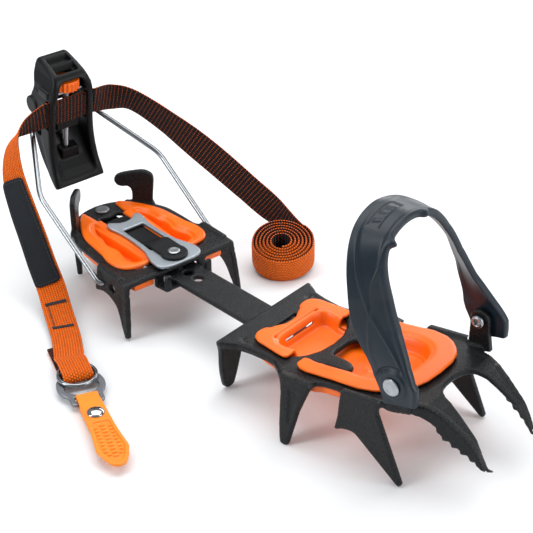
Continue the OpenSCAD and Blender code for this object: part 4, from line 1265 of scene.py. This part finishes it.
# Half width of the lever, (z, half width)
LEVER_WIDTH = [(-36, 16.6), (-24, 15.8), (-8, 15.2), (16, 14.8), (24, 13.2), (30, 11.0),
               (37, 9.2)]


def lever_shell(solid):
    levels, widths = zip(*LEVER_WIDTH)
    half = np.interp(solid.ticks[2], levels, widths).astype(F32)[None, None, :]

    def hollow(x, y, z):
        wall = 4.2 - 1.6 * fade(z, -26, -35)
        return soft_cut(polygon(x, z, LEVER_HOLLOW), -(np.abs(y) - (half - wall)), 3.4)
    solid.add(lambda x, y, z: extrude(polygon(x, z, LEVER_PROFILE), np.abs(y) - half, 1.9))
    solid.cut(hollow, blend=0.9)


def heel_lever():
    solid = Solid((-14.6, 0, -37.4), (24, 18.6, 38.6), 0.5)
    lever_shell(solid)
    # opening in the back wall
    solid.cut(box((-6, 0, -1.5), (6, 7.4, 8.5), 1.0), (-14, -1, -12), (2, 9, 9), 0.5)
    # lower bearing block of the screw, with a step above it
    solid.add(box((4.4, 0, -20.4), (4.9, 5.6, 4.4), 0.7), (-2, -1, -27), (11, 8, -15), 0.5)
    solid.cut(box((7.2, 0, -13.9), (3.2, 7.6, 2.4), 0.6), (2, -1, -18), (12, 9, -10), 0.4)
    solid.cut(bore(2.3, SCREW_X), (1, -1, -30), (7, 3, 0), 0.2)
    # two pockets in the cap, leaving the rib between them
    for pocket_x, pocket_z in ((-3.6, 35.0), (3.2, 33.1)):
        def pocket(x, y, z):
            dx, dz = x - pocket_x, z - pocket_z
            return box((0, 0, 0), (2.35, 7.0, 2.6), 1.0)(
                dx * 0.94 + dz * 0.34, y, -dx * 0.34 + dz * 0.94)
        solid.cut(pocket, (pocket_x - 5, -1, pocket_z - 5), (pocket_x + 5, 9, pocket_z + 5), 0.8)
    # shelves for the thrust plate
    solid.add(box((0.4, 11.0, 18.7), (7.7, 3.2, 1.15), 0.4), (-9, 7, 16), (9, 15, 21), 0.5)
    solid.add(box((3.4, 12.2, 21.2), (4.4, 2.8, 2.2), 0.6), (-2, 8, 18), (9, 15, 24), 0.5)
    # side lug and a blind hole on it
    solid.add(lambda x, y, z: extrude(disc(x, z, 5.2, (-7.2, 9.2)), np.abs(y - 14.8) - 1.15, 0.8),
              (-14, 12, 3), (-1, 17, 16), 0.9)
    solid.cut(lambda x, y, z: np.maximum(disc(x, z, 1.25, (-3.2, 6.4)), 13.6 - y),
              (-6, 13, 4), (-1, 17, 9), 0.2)
    # slots for crossbar and webbing
    solid.cut(lambda x, y, z: np.maximum(box((0, 14, 0), (1.95, 6, 7.1), 0.9)(x, y, z), 9 - y),
              (-3, 9, -9), (3, 19, 9), 0.3)
    solid.cut(box((7.7, 14, 9.2), (1.35, 6, 8.9), 0.5), (5, 9, -1), (10, 19, 19), 0.3)
    # long shallow flute down each flank
    solid.cut(capsule((1.5, 18.8, -10), (9.6, 19.3, -26), 3.4), (-4, 13, -32), (16, 19, -4), 1.4)
    put("heel_lever_moulded", solid.mesh(), NYLON, "lever_plastic", "lever", LEVER, "heel_lever")


def thrust_plate():
    solid = Solid((-3.4, 0, 19.2), (9, 9.6, 22), 0.3)
    solid.add(box((2.8, 0, 20.6), (4.8, 8.6, 0.7), 0.35))
    solid.cut(bore(2.15, SCREW_X))
    put("thrust_plate_zinc", solid.mesh(1), BLASTED, "rivet_steel", "lever", LEVER,
        "thrust_plate", sharp=50)


def adjuster_screw():
    sides, pitch, bottom, top = 40, 0.8, -23.5, 28.1
    levels = np.arange(bottom, top, 0.16 * COARSE)
    angles = np.linspace(0, 2 * math.pi, sides, endpoint=False)
    level, angle = np.meshgrid(levels, angles, indexing="ij")
    phase = (level / pitch - angle / (2 * math.pi)) % 1.0
    radius = 2.0 - 0.24 * (1 - np.abs(2 * phase - 1) ** 1.2)
    taper = np.clip(np.minimum(level - bottom, top - level) / 0.5, 0.1, 1)
    radius = radius * (0.75 + 0.25 * taper)
    verts = np.stack([radius * np.cos(angle), radius * np.sin(angle), level], -1).reshape(-1, 3)
    verts[:, 0] += SCREW_X
    last = (len(levels) - 1) * sides
    faces = ring_quads(len(levels), sides).tolist()
    faces += [tuple(range(sides))[::-1], tuple(range(last, last + sides))]
    put("adjuster_screw_thread", (verts, faces), ZINC, "rivet_steel", "adjuster", LEVER,
        "adjuster_screw", sharp=50)


def hexagon(x, y, inradius):
    dx, dy = np.abs(x - SCREW_X), np.abs(y)
    return np.maximum(dx * 0.8660254 + dy * 0.5, dy) - inradius


def thumbwheel():
    """knurled wheel with a hexagonal recess on top"""
    solid = Solid((SCREW_X - 8.6, -8.6, 20.8), (SCREW_X + 8.6, 8.6, 27.9), 0.3, mirrored=False)

    def wheel(x, y, z):
        radius = 7.25 + 0.45 * np.cos(np.arctan2(y, x - SCREW_X) * 18)
        return extrude(disc(x, y, radius, (SCREW_X, 0)), slab(z, 21.4, 27.2), 0.7)
    solid.add(wheel)
    solid.cut(lambda x, y, z: np.maximum(hexagon(x, y, 3.55), 25.2 - z), blend=0.25)
    solid.cut(bore(2.05, SCREW_X))
    put("thumbwheel_knurled", solid.mesh(1), ORANGE, "antiball_orange", "adjuster", LEVER,
        "thumbwheel")


def hex_nut():
    solid = Solid((SCREW_X - 5, -5, 24.8), (SCREW_X + 5, 5, 28.6), 0.22, mirrored=False)
    solid.add(lambda x, y, z: extrude(hexagon(x, y, 3.46), slab(z, 25.25, 27.85), 0.12))
    # bevelled corners
    solid.trim(lambda x, y, z: disc(x, y, 3.55, (SCREW_X, 0))
               + np.maximum(np.abs(z - 26.55) - 1.0, 0) * 1.6)
    solid.cut(bore(2.0, SCREW_X))
    put("hex_nut_zinc", solid.mesh(1), ZINC, "rivet_steel", "adjuster", LEVER, "hex_nut",
        sharp=30)


# ------------------------------------------------------------------ webbing
# A path is (points, tangents, width directions, run), evenly spaced along the strap.
def web_path(stations, spacing):
    """stations are (centre, width direction)"""
    raw = np.array(curve([np.concatenate(station) for station in stations], 24, closed=False))
    length = arc_length(raw[:, :3])
    run = np.linspace(0, length[-1], max(3, int(round(length[-1] / spacing)) + 1))
    even = np.stack([np.interp(run, length, raw[:, i]) for i in range(6)], 1)
    points, widths = even[:, :3], even[:, 3:]
    tangents = np.gradient(points, axis=0)
    tangents /= np.linalg.norm(tangents, axis=1)[:, None]
    widths = widths - tangents * (widths * tangents).sum(1)[:, None]
    widths /= np.linalg.norm(widths, axis=1)[:, None]
    return points, tangents, widths, run


def path_part(path, first, last):
    return tuple(values[first:last + 1] for values in path)


def ribbon(name, path, body, *replaces, material=WEB, slot="webbing_orange", face_sign=1,
           half=7.9, thick=1.5, columns=56, weave=0.1, start_u=0.0, u_step=1.0, lift=0.0,
           shift=0.0, corner=0.0):
    """Strap along a path.

    face_sign picks the side that is the face, weave is the relief's height, lift and shift
    move the strap along its normal and width, corner rounds the corners of both ends.
    """
    points, tangents, widths, run = path
    normals = face_sign * np.cross(tangents, widths)
    columns = int(columns / COARSE)
    even = np.linspace(-1, 1, columns + 1)
    across = half * (0.5 * even + 0.5 * np.sin(even * math.pi / 2))
    count = len(points)
    to_end = np.minimum(run - run[0], run[-1] - run)
    inset = corner - np.sqrt(np.clip(corner ** 2 - (corner - to_end) ** 2, 0, None))
    narrowing = 1 - np.where(to_end < corner, inset / half, 0)
    V = across[None, :] * narrowing[:, None]
    U = (start_u + u_step * run)[:, None] * np.ones_like(V)
    row = V / WEAVE[1]
    column = U / WEAVE[0] + 0.5 * (np.abs(np.floor(row)) % 2)
    hump = np.clip(1 - (((column % 1) - 0.5) ** 2 * 3 + ((row % 1) - 0.5) ** 2 * 4), 0, 1) - 0.5
    height = thick / 2 * np.sqrt(np.clip(1 - np.abs(across / half) ** 7, 0, 1))[None, :]
    height = height + weave * hump * np.clip((half - np.abs(V)) / 1.0, 0, 1)
    base = (points[:, None] + widths[:, None] * (V[..., None] + shift)
            + normals[:, None] * lift)
    face = base + normals[:, None] * height[..., None]
    back = base - normals[:, None] * height[..., None]

    def around(front, rear):
        return np.concatenate([front, rear[:, -2:0:-1]], 1)
    size = 2 * columns
    verts = around(face, back).reshape(-1, 3)
    uv = np.stack([around(U, U).ravel(), around(V, V).ravel()], 1)
    side = np.zeros((count, size))
    side[:, :columns + 1] = np.where(np.abs(across) > half - 0.28, 0.5, 1.0)
    side[:, [columns + 1, -1]] = 0.5
    quads = ring_quads(count, size)
    caps = []
    for base_index, flip in ((0, False), ((count - 1) * size, True)):
        def under(j):
            return base_index + (size - j if 0 < j < columns else j)
        for j in range(columns):
            corners = [base_index + j, under(j), under(j + 1), base_index + j + 1]
            corners = list(dict.fromkeys(corners))
            caps.append(tuple(corners[::-1] if flip else corners))
    faces = [tuple(quad) for quad in quads.tolist()] + caps
    if volume_sign(verts[quads] - verts.mean(0)) < 0:
        faces = [quad[::-1] for quad in faces]
    return put(name, (verts, faces), material, slot, body, WORLD, *replaces, uv=uv,
               side=side.ravel())


def threads(stitches, radius, sides, cap_steps):
    """short round-ended threads, one per (start, end)"""
    parts = []
    for start, end in stitches:
        start, end = np.array(start, float), np.array(end, float)
        length = np.linalg.norm(end - start)
        profile = [(radius * math.cos(a), -radius * math.sin(a))
                   for a in np.linspace(math.pi / 2, 0, cap_steps + 1)]
        profile += [(radius * math.cos(a), length + radius * math.sin(a))
                    for a in np.linspace(0, math.pi / 2, cap_steps + 1)]
        profile[0], profile[-1] = (0, -radius), (0, length + radius)
        verts, faces = lathe(profile, sides)
        aim = Vector((0, 0, 1)).rotation_difference(Vector((end - start) / length))
        parts.append((verts @ np.array(aim.to_matrix()).T + start, faces))
    return joined(*parts)


WEB_EDGE = 15.4  # half length of the webbing inside the lever
LEVER_UP = LEVER.direction((0, 0, 1))


def in_lever(y):
    return LEVER((7.7, y, 9.4))[0]


def lever_stations(side):
    return [(in_lever(side * y), LEVER_UP) for y in (7, 11, 14, 17.4)]


def lever_webbing():
    stations = [(in_lever(y), LEVER_UP) for y in (WEB_EDGE, 5, -5, -WEB_EDGE)]
    ribbon("webbing_in_lever", web_path(stations, 0.5 * COARSE), "lever",
           "strap_lever_section", slot="webbing_black", start_u=-WEB_EDGE)


def webbing_exit(side, name, path, columns):
    """three short pieces of webbing between the lever and the strap, riding with no body; side is
    the sign of Y

    Returns where the tail starts and the ribbon settings it shares.
    """
    points, _, _, run = path
    out = side * ((points - LEVER.origin) @ LEVER.rotation)[:, 1]
    cuts = [int(np.argmax(out >= y)) for y in (15.3, 18.2, 20.8, 27.0)]
    settings = dict(face_sign=-side, u_step=-side, start_u=side * (run[cuts[0]] - WEB_EDGE),
                    columns=columns)
    # part, the bodies at its two ends, and a blend's start and end in y; the blend is worked out
    # but not applied
    parts = (("in_wall", "lever", "nut_block", 15.6, 18.0),
             ("exit", "nut_block", "bail", 18.4, 20.6),
             ("bend", "bail", f"strap_{name}", 21.0, 26.0))
    for i, (part, first, second, *ends) in enumerate(parts):
        piece = ribbon(f"webbing_{name}_{part}", path_part(path, cuts[i], cuts[i + 1]), None,
                       slot="webbing_black", **settings)
        start, end = (tuple(float(c) / 1000 for c in in_lever(side * y)) for y in ends)
        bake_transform(piece)
    return cuts[-1], settings


# Left strap from the lever to the buckle, (centre, width direction)
LEFT_STATIONS = [
    ((-166.9, -7.0, 52.4), (0.42, -0.22, 0.86)), ((-167.2, -15.0, 48.2), (0.78, -0.28, 0.56)),
    ((-164.6, -20.2, 42), (0.9, -0.05, 0.42)), ((-159.0, -25.0, 31), (0.85, 0.26, 0.44)),
    ((-149.1, -28.8, 17.5), (0.79, 0.46, 0.39)), ((-138.3, -32.0, 3.5), (0.74, 0.56, 0.33)),
    ((-130.1, -34.2, -9), (0.71, 0.65, 0.25)), ((-121.6, -36.6, -19.6), (0.65, 0.74, 0.14)),
    ((-108, -44.2, -26.8), (0.58, 0.81, 0.03)), ((-91.6, -54.5, -28.7), (0.53, 0.85, 0)),
    ((-78.4, -64.6, -28.3), (0.49, 0.87, 0))]
# Fold round the buckle's bar and back under itself, (x, z) in the buckle frame
BUCKLE_FOLD = [
    (-18.5, 1.6), (-13, 3.45), (-6.5, 3.5), (-1.8, 3.4), (0.3, 2.2), (0.95, 0.2), (0.2, -1.9),
    (-1.6, -2.75), (-8, -2.7), (-15, -2.75), (-26, -2.75), (-35, -2.75)]
LABEL_SHIFT = -0.55  # label's offset across the strap


def label(path):
    """plain woven patch with rounded corners and a stitched border"""
    points, _, _, run = path
    # its ends are found by height, with the strap's other passes ruled out
    first = int(np.argmin(np.abs(points[:, 2] - 30.2) + (run < 20) * 99))
    last = int(np.argmin(np.abs(points[:, 2] + 18.4) + (run < 60) * 99 + (run > 170) * 99))
    part = path_part(path, first, last)
    ribbon("label_patch_woven", part, "strap_left", "label_patch", material=LABEL,
           slot="label_black", half=7.35, thick=0.8, columns=40, weave=0, lift=1.25,
           shift=LABEL_SHIFT, corner=2.6)
    points, tangents, widths, run = part
    normals = np.cross(tangents, widths)

    def on_label(along, across):
        i = np.clip(np.searchsorted(run, run[0] + along), 0, len(run) - 1)
        return points[i] + widths[i] * (across + LABEL_SHIFT) + normals[i] * 1.72
    length = run[-1] - run[0]
    stitches = []
    for across in (-6.0, 6.0):
        along = 1.6
        while along + 1.5 < length - 1.4:
            stitches.append((on_label(along, across), on_label(along + 1.45, across)))
            along += 2.3
    for along in (1.5, length - 1.5):
        for j in range(5):
            across = -4.9 + j * 2.3
            stitches.append((on_label(along, across), on_label(along, across + 1.4)))
    put("label_border_stitches", threads(stitches, radius=0.27, sides=8, cap_steps=3), THREAD,
        "thread_black", "strap_left", WORLD)


def bar_tacks(path):
    """two zigzag tacks and the run of stitching between them"""
    points, tangents, widths, run = path
    random = np.random.RandomState(4)
    stitches, ends = [], []
    for tack_x, tack_y in ((-113.6, -40.8), (-97.6, -50.6)):
        i = int(np.argmin(np.hypot(points[:, 0] - tack_x, points[:, 1] - tack_y)
                          + (run > 190) * 99))
        centre, tangent, width = points[i], tangents[i], widths[i]
        normal = np.cross(tangent, width)
        for j in range(26):
            across = -5.6 + 11.2 * j / 25
            reach = 0.75 + 0.14 * random.rand()
            stitches.append(tuple(
                centre + width * (across + sign * 0.18)
                + tangent * (sign * reach + 0.1 * random.randn()) + normal * 0.98
                for sign in (-1, 1)))
        ends.append(i)
    for k in range(8):
        span = ends[1] - ends[0]
        pair = [int(ends[0] + span * (k + share) / 8) for share in (0.08, 0.86)]
        stitches.append(tuple(
            points[i] - widths[i] * 4.6 + np.cross(tangents[i], widths[i]) * 0.9 for i in pair))
    put("bar_tacks_thread", threads(stitches, radius=0.24, sides=7, cap_steps=2), THREAD,
        "thread_black", "strap_left", WORLD, "bar_tack_stitching")


def left_webbing():
    bar = BUCKLE.direction((0, 1, 0))
    stations = lever_stations(-1) + LEFT_STATIONS
    stations += [(BUCKLE((x, 0, z))[0], bar) for x, z in BUCKLE_FOLD]
    path = web_path(stations, 0.42 * COARSE)
    start, settings = webbing_exit(-1, "left", path, columns=56)
    ribbon("webbing_left_tail", path_part(path, start, len(path[3]) - 1), "strap_left",
           "strap_left_tail", "strap_loop", weave=0.2, **settings)
    label(path)
    bar_tacks(path)


# Right strap from the lever to its roll: (centre, yaw, lean) of the width direction in degrees
RIGHT_STATIONS = [
    ((-158.4, 50.0, 53.0), 70, 2), ((-150.5, 59.5, 50.2), 42, 14), ((-134.5, 68.4, 39.5), 14, 2),
    ((-108, 76.6, 23), 9, -26), ((-84, 86.4, 3.4), 17, -14), ((-70, 93.4, -9.5), 12, -8)]
ROLL_CENTRE = np.array([-52, 77.6, -20.4])
ROLL_RADIUS, ROLL_PITCH, ROLL_TURNS = 18.2, 2.1, 6.4
ROLL_AXIS = turn("X", 11) @ turn("Y", 8) @ np.array([0, 0, 1.0])


def roll_point(turns):
    """point on the roll after so many turns inward"""
    first = np.array([1.0, 0, 0]) - ROLL_AXIS * ROLL_AXIS[0]
    first /= np.linalg.norm(first)
    second = np.cross(ROLL_AXIS, first)
    angle = math.radians(96) - turns * 2 * math.pi
    wobble = 0.22 * math.sin(3 * angle) * (1 - turns / ROLL_TURNS)
    radius = ROLL_RADIUS - ROLL_PITCH * turns + wobble
    return ROLL_CENTRE + first * radius * math.cos(angle) + second * radius * math.sin(angle)


def right_webbing():
    stations = lever_stations(1)
    for centre, yaw, lean in RIGHT_STATIONS:
        width = turn("Z", yaw) @ turn("X", lean) @ np.array([0, 0, 1.0])
        stations.append((np.array(centre), width))
    stations += [(roll_point(turns), ROLL_AXIS) for turns in (0.0, 0.06, 0.12, 0.2)]
    turns = 0.2
    while turns < ROLL_TURNS:
        turns += 1 / 14
        stations.append((roll_point(turns), ROLL_AXIS))
    path = web_path(stations, 0.62 * COARSE)
    start, settings = webbing_exit(1, "right", path, columns=44)
    roll = int(np.argmin(np.linalg.norm(path[0] - roll_point(0.05), axis=1)))
    ribbon("webbing_right_tail", path_part(path, start, roll), "strap_right",
           "strap_right_tail", slot="webbing_black", **settings)
    ribbon("webbing_roll", path_part(path, roll, len(path[3]) - 1), "strap_right",
           "strap_coil", **settings)


# ------------------------------------------------------------------ buckle (buckle frame)
TAB_RIVET_X = 32.4
# Half outlines (x, y)
BUCKLE_OUTLINE = [(-4.2, -2), (-4.2, 7.4)] + curve([
    (-4.1, 7.8), (-3.3, 8.4), (-3.0, 10.3), (-0.6, 11.7), (2.6, 12.4), (5.4, 12.5), (8.2, 12.0),
    (10.8, 10.8), (13, 9.3), (15.4, 8.7), (18.6, 8.6), (20.0, 7.8), (20.4, 6.4)],
    3, closed=False) + [(20.4, -2)]
BUCKLE_OPENINGS = [
    [(-1.6, -2), (-1.6, 8.3), (-1.2, 8.6), (1.2, 8.6), (1.6, 8.3), (1.6, -2)],
    half_outline([(4, 0), (4, 5), (4.1, 8), (5.4, 8.9), (7.6, 8.5), (9.8, 7.1), (11.6, 4.8),
                  (12.4, 2), (12.5, 0)], 3),
    [(14.2, -2), (14.2, 5.9), (14.5, 6.2), (17.5, 6.2), (17.8, 5.9), (17.8, -2)]]
TAB_OUTLINE = [
    (15.4, -2), (15.4, 5.2), (15.8, 5.6), (26, 5.9), (33, 6.1), (44, 6.5), (54, 7.3),
    (60.5, 8.1), (62.8, 8.1), (64.6, 7.4), (67.8, 6.4), (71.5, 4.9), (73.6, 3.7), (74.9, 2.1),
    (75.4, 0), (75.4, -2)]
TAB_PANEL = [(40, -2), (40, 3.9), (42, 4.6), (50, 5.0), (58, 5.9), (61, 6.2), (64, 5.6),
             (69, 3.8), (71.4, 2.0), (72, -2)]
# Fold of the tab round the bar, side view (x, z)
TAB_FOLD = [
    (15.2, 2.05), (15.2, -3.4), (15.9, -3.7), (40.4, -3.7), (40.9, -3.3), (41.8, 1.0),
    (21.4, 1.0), (21.4, -2.6), (17.0, -2.6), (16.7, -2.2), (16.7, 2.05)]


def buckle_plate():
    solid = Solid((-5.4, 0, -2.8), (21.6, 13.4, 0.8), 0.26)

    def plate(x, y, z):
        area = polygon(x, y, BUCKLE_OUTLINE)
        for opening in BUCKLE_OPENINGS:
            area = soft_cut(area, polygon(x, y, opening), 0.15)
        return extrude(area, slab(z, -1.9, -0.1), 0.45)
    solid.add(plate)
    put("buckle_plate_stamped", solid.mesh(1), BUCKLE_METAL, "lock_plate_steel", "buckle_plate",
        BUCKLE, "buckle_plate")


def buckle_ring():
    segments, sides = int(132 / COARSE), 26
    ring_radius, wire_radius = 9.6, 1.15
    around, wire = np.meshgrid(np.linspace(0, 2 * math.pi, segments, endpoint=False),
                               np.linspace(0, 2 * math.pi, sides, endpoint=False), indexing="ij")
    radius = ring_radius + wire_radius * np.cos(wire)
    verts = np.stack([-2.4 + radius * np.cos(around), radius * np.sin(around),
                      1.3 + wire_radius * np.sin(wire)], -1).reshape(-1, 3)
    faces = []
    for i in range(segments):
        this, following = i * sides, (i + 1) % segments * sides
        for j in range(sides):
            k = (j + 1) % sides
            faces.append((this + j, following + j, following + k, this + k))
    put("buckle_ring_wire", (verts, np.array(faces)), WIRE, "bail_steel", "buckle_ring", BUCKLE,
        "buckle_ring")


def pull_tab():
    """moulded strip folded round the bar, with a recessed grip panel"""
    solid = Solid((14.6, 0, -4.6), (76.4, 9.2, 3.2), 0.33)
    solid.add(plate_z(TAB_OUTLINE, 0.55, 2.05, 0.55))
    solid.add(plate_y(TAB_FOLD, 0, 5.6, 0.45), blend=0.3)
    solid.cut(lambda x, y, z: np.maximum(polygon(x, y, TAB_PANEL), 1.35 - z),
              (38, -1, 0), (74, 8, 4), 0.2)
    # a row of ribs down the middle, and staggered ones either side
    for row in range(10):
        rib_x = 43.2 + row * 2.75
        solid.add(box((rib_x, 0, 1.75), (0.5, 1.35, 0.5), 0.3),
                  (rib_x - 2, -1, 0.5), (rib_x + 2, 3, 3), 0.15)
        if row < 9:
            rib_y = 3.6 if row < 5 else 3.9 if row < 8 else 2.7
            solid.add(box((rib_x + 1.35, rib_y, 1.75), (0.5, 0.95, 0.5), 0.3),
                      (rib_x - 1, 1, 0.5), (rib_x + 4, 6.4, 3), 0.15)
    solid.cut(bore(2.0, TAB_RIVET_X), (29, -1, -5), (36, 4, 4), 0.1)
    put("pull_tab_moulded", solid.mesh(1), YELLOW, "tab_yellow", "pull_tab", BUCKLE, "pull_tab")


def tab_rivet():
    profile = [(0, -3.8), (3.4, -3.8), (3.7, -3.6), (1.95, -3.55), (1.95, 2.05), (4.25, 2.08),
               (4.45, 2.25), (4.4, 2.5), (4.0, 2.85), (3.2, 3.3), (2.2, 3.66), (1.1, 3.86),
               (0, 3.92)]
    put_turned("tab_rivet_dome", profile, 56, TAB_RIVET_X, CHROME, "pull_tab", BUCKLE,
               "tab_rivet", sharp=50)


def finish_kept_nodes():
    """material and a small bevel for the CAD pieces that stay"""
    for node, material in (("lock_peg", ZINC), ("bail_nut_block", NYLON)):
        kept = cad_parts[node]
        kept.data.materials.clear()
        kept.data.materials.append(material)
        bevel = kept.modifiers.new("edge", "BEVEL")
        bevel.width, bevel.segments, bevel.limit_method = 0.00035, 2, "ANGLE"


for build in (front_platform, front_snow_plate, linking_bar, toe_rivets, heel_platform,
              heel_snow_plates, rear_rivet, spring_leaf, lock_plate, lock_rivet, toe_basket,
              heel_bail, heel_lever, thrust_plate, adjuster_screw, thumbwheel, hex_nut,
              lever_webbing, left_webbing, right_webbing, buckle_plate, buckle_ring, pull_tab,
              tab_rivet, finish_kept_nodes):
    build()

# ------------------------------------------------------------------ studio (metres)
scene = bpy.context.scene
scene.view_settings.view_transform = "Standard"
scene.view_settings.look = "None"


def studio_floor(half=6, level=-0.0321):
    data = bpy.data.meshes.new("floor")
    corners = [(-half, -half, level), (half, -half, level), (half, half, level),
               (-half, half, level)]
    data.from_pydata(corners, [], [(0, 1, 2, 3)])
    floor = bpy.data.objects.new("floor", data)
    scene.collection.objects.link(floor)
    m = Shader("studio_floor")
    tone = m.remap(m.noise(scale=8, detail=2, rough=0.5), (0.4, 0.6))
    m.color(m.mix(tone, (0.80, 0.815, 0.83), (0.82, 0.835, 0.85)))
    m.set(Roughness=0.9, Specular_IOR_Level=0.1)
    data.materials.append(m.material)


def studio_world():
    world = bpy.data.worlds.new("studio")
    scene.world = world
    world.use_nodes = True
    background = world.node_tree.nodes["Background"]
    background.inputs["Color"].default_value = (0.97, 0.985, 1.0, 1)
    background.inputs["Strength"].default_value = 0.36


def aim(thing, location, target):
    thing.location = location
    thing.rotation_mode = "QUATERNION"
    thing.rotation_quaternion = (Vector(target) - thing.location).to_track_quat("-Z", "Y")


def area_light(name, location, size, power, target=(0, 0, 0), color=(1, 1, 1)):
    light = bpy.data.lights.new(name, "AREA")
    light.shape, light.energy, light.color = "RECTANGLE", power, color
    light.size, light.size_y = size
    lamp = bpy.data.objects.new(name, light)
    aim(lamp, location, target)
    scene.collection.objects.link(lamp)


def studio_camera():
    camera = bpy.data.objects.new("camera", bpy.data.cameras.new("camera"))
    scene.collection.objects.link(camera)
    aim(camera, (0.418602, -0.483941, 0.424241), target=(-0.02565, 0.03316, 0.0))
    camera.data.sensor_width = 36
    camera.data.lens = 101.06
    camera.data.clip_start, camera.data.clip_end = 0.01, 50
    scene.camera = camera


studio_floor()
studio_world()
area_light("top_softbox", (-0.25, 0.25, 1.25), size=(1.5, 1.2), power=17.5)
area_light("left_strip", (-0.55, -1.0, 0.65), size=(0.3, 1.2), power=8.0, color=(0.97, 0.99, 1))
area_light("right_fill", (1.15, 0.35, 0.55), size=(0.7, 0.7), power=7.0)
area_light("back_edge", (-0.2, 1.3, 0.5), size=(1.4, 0.3), power=8.0, target=(0, 0, 0.02))
studio_camera()
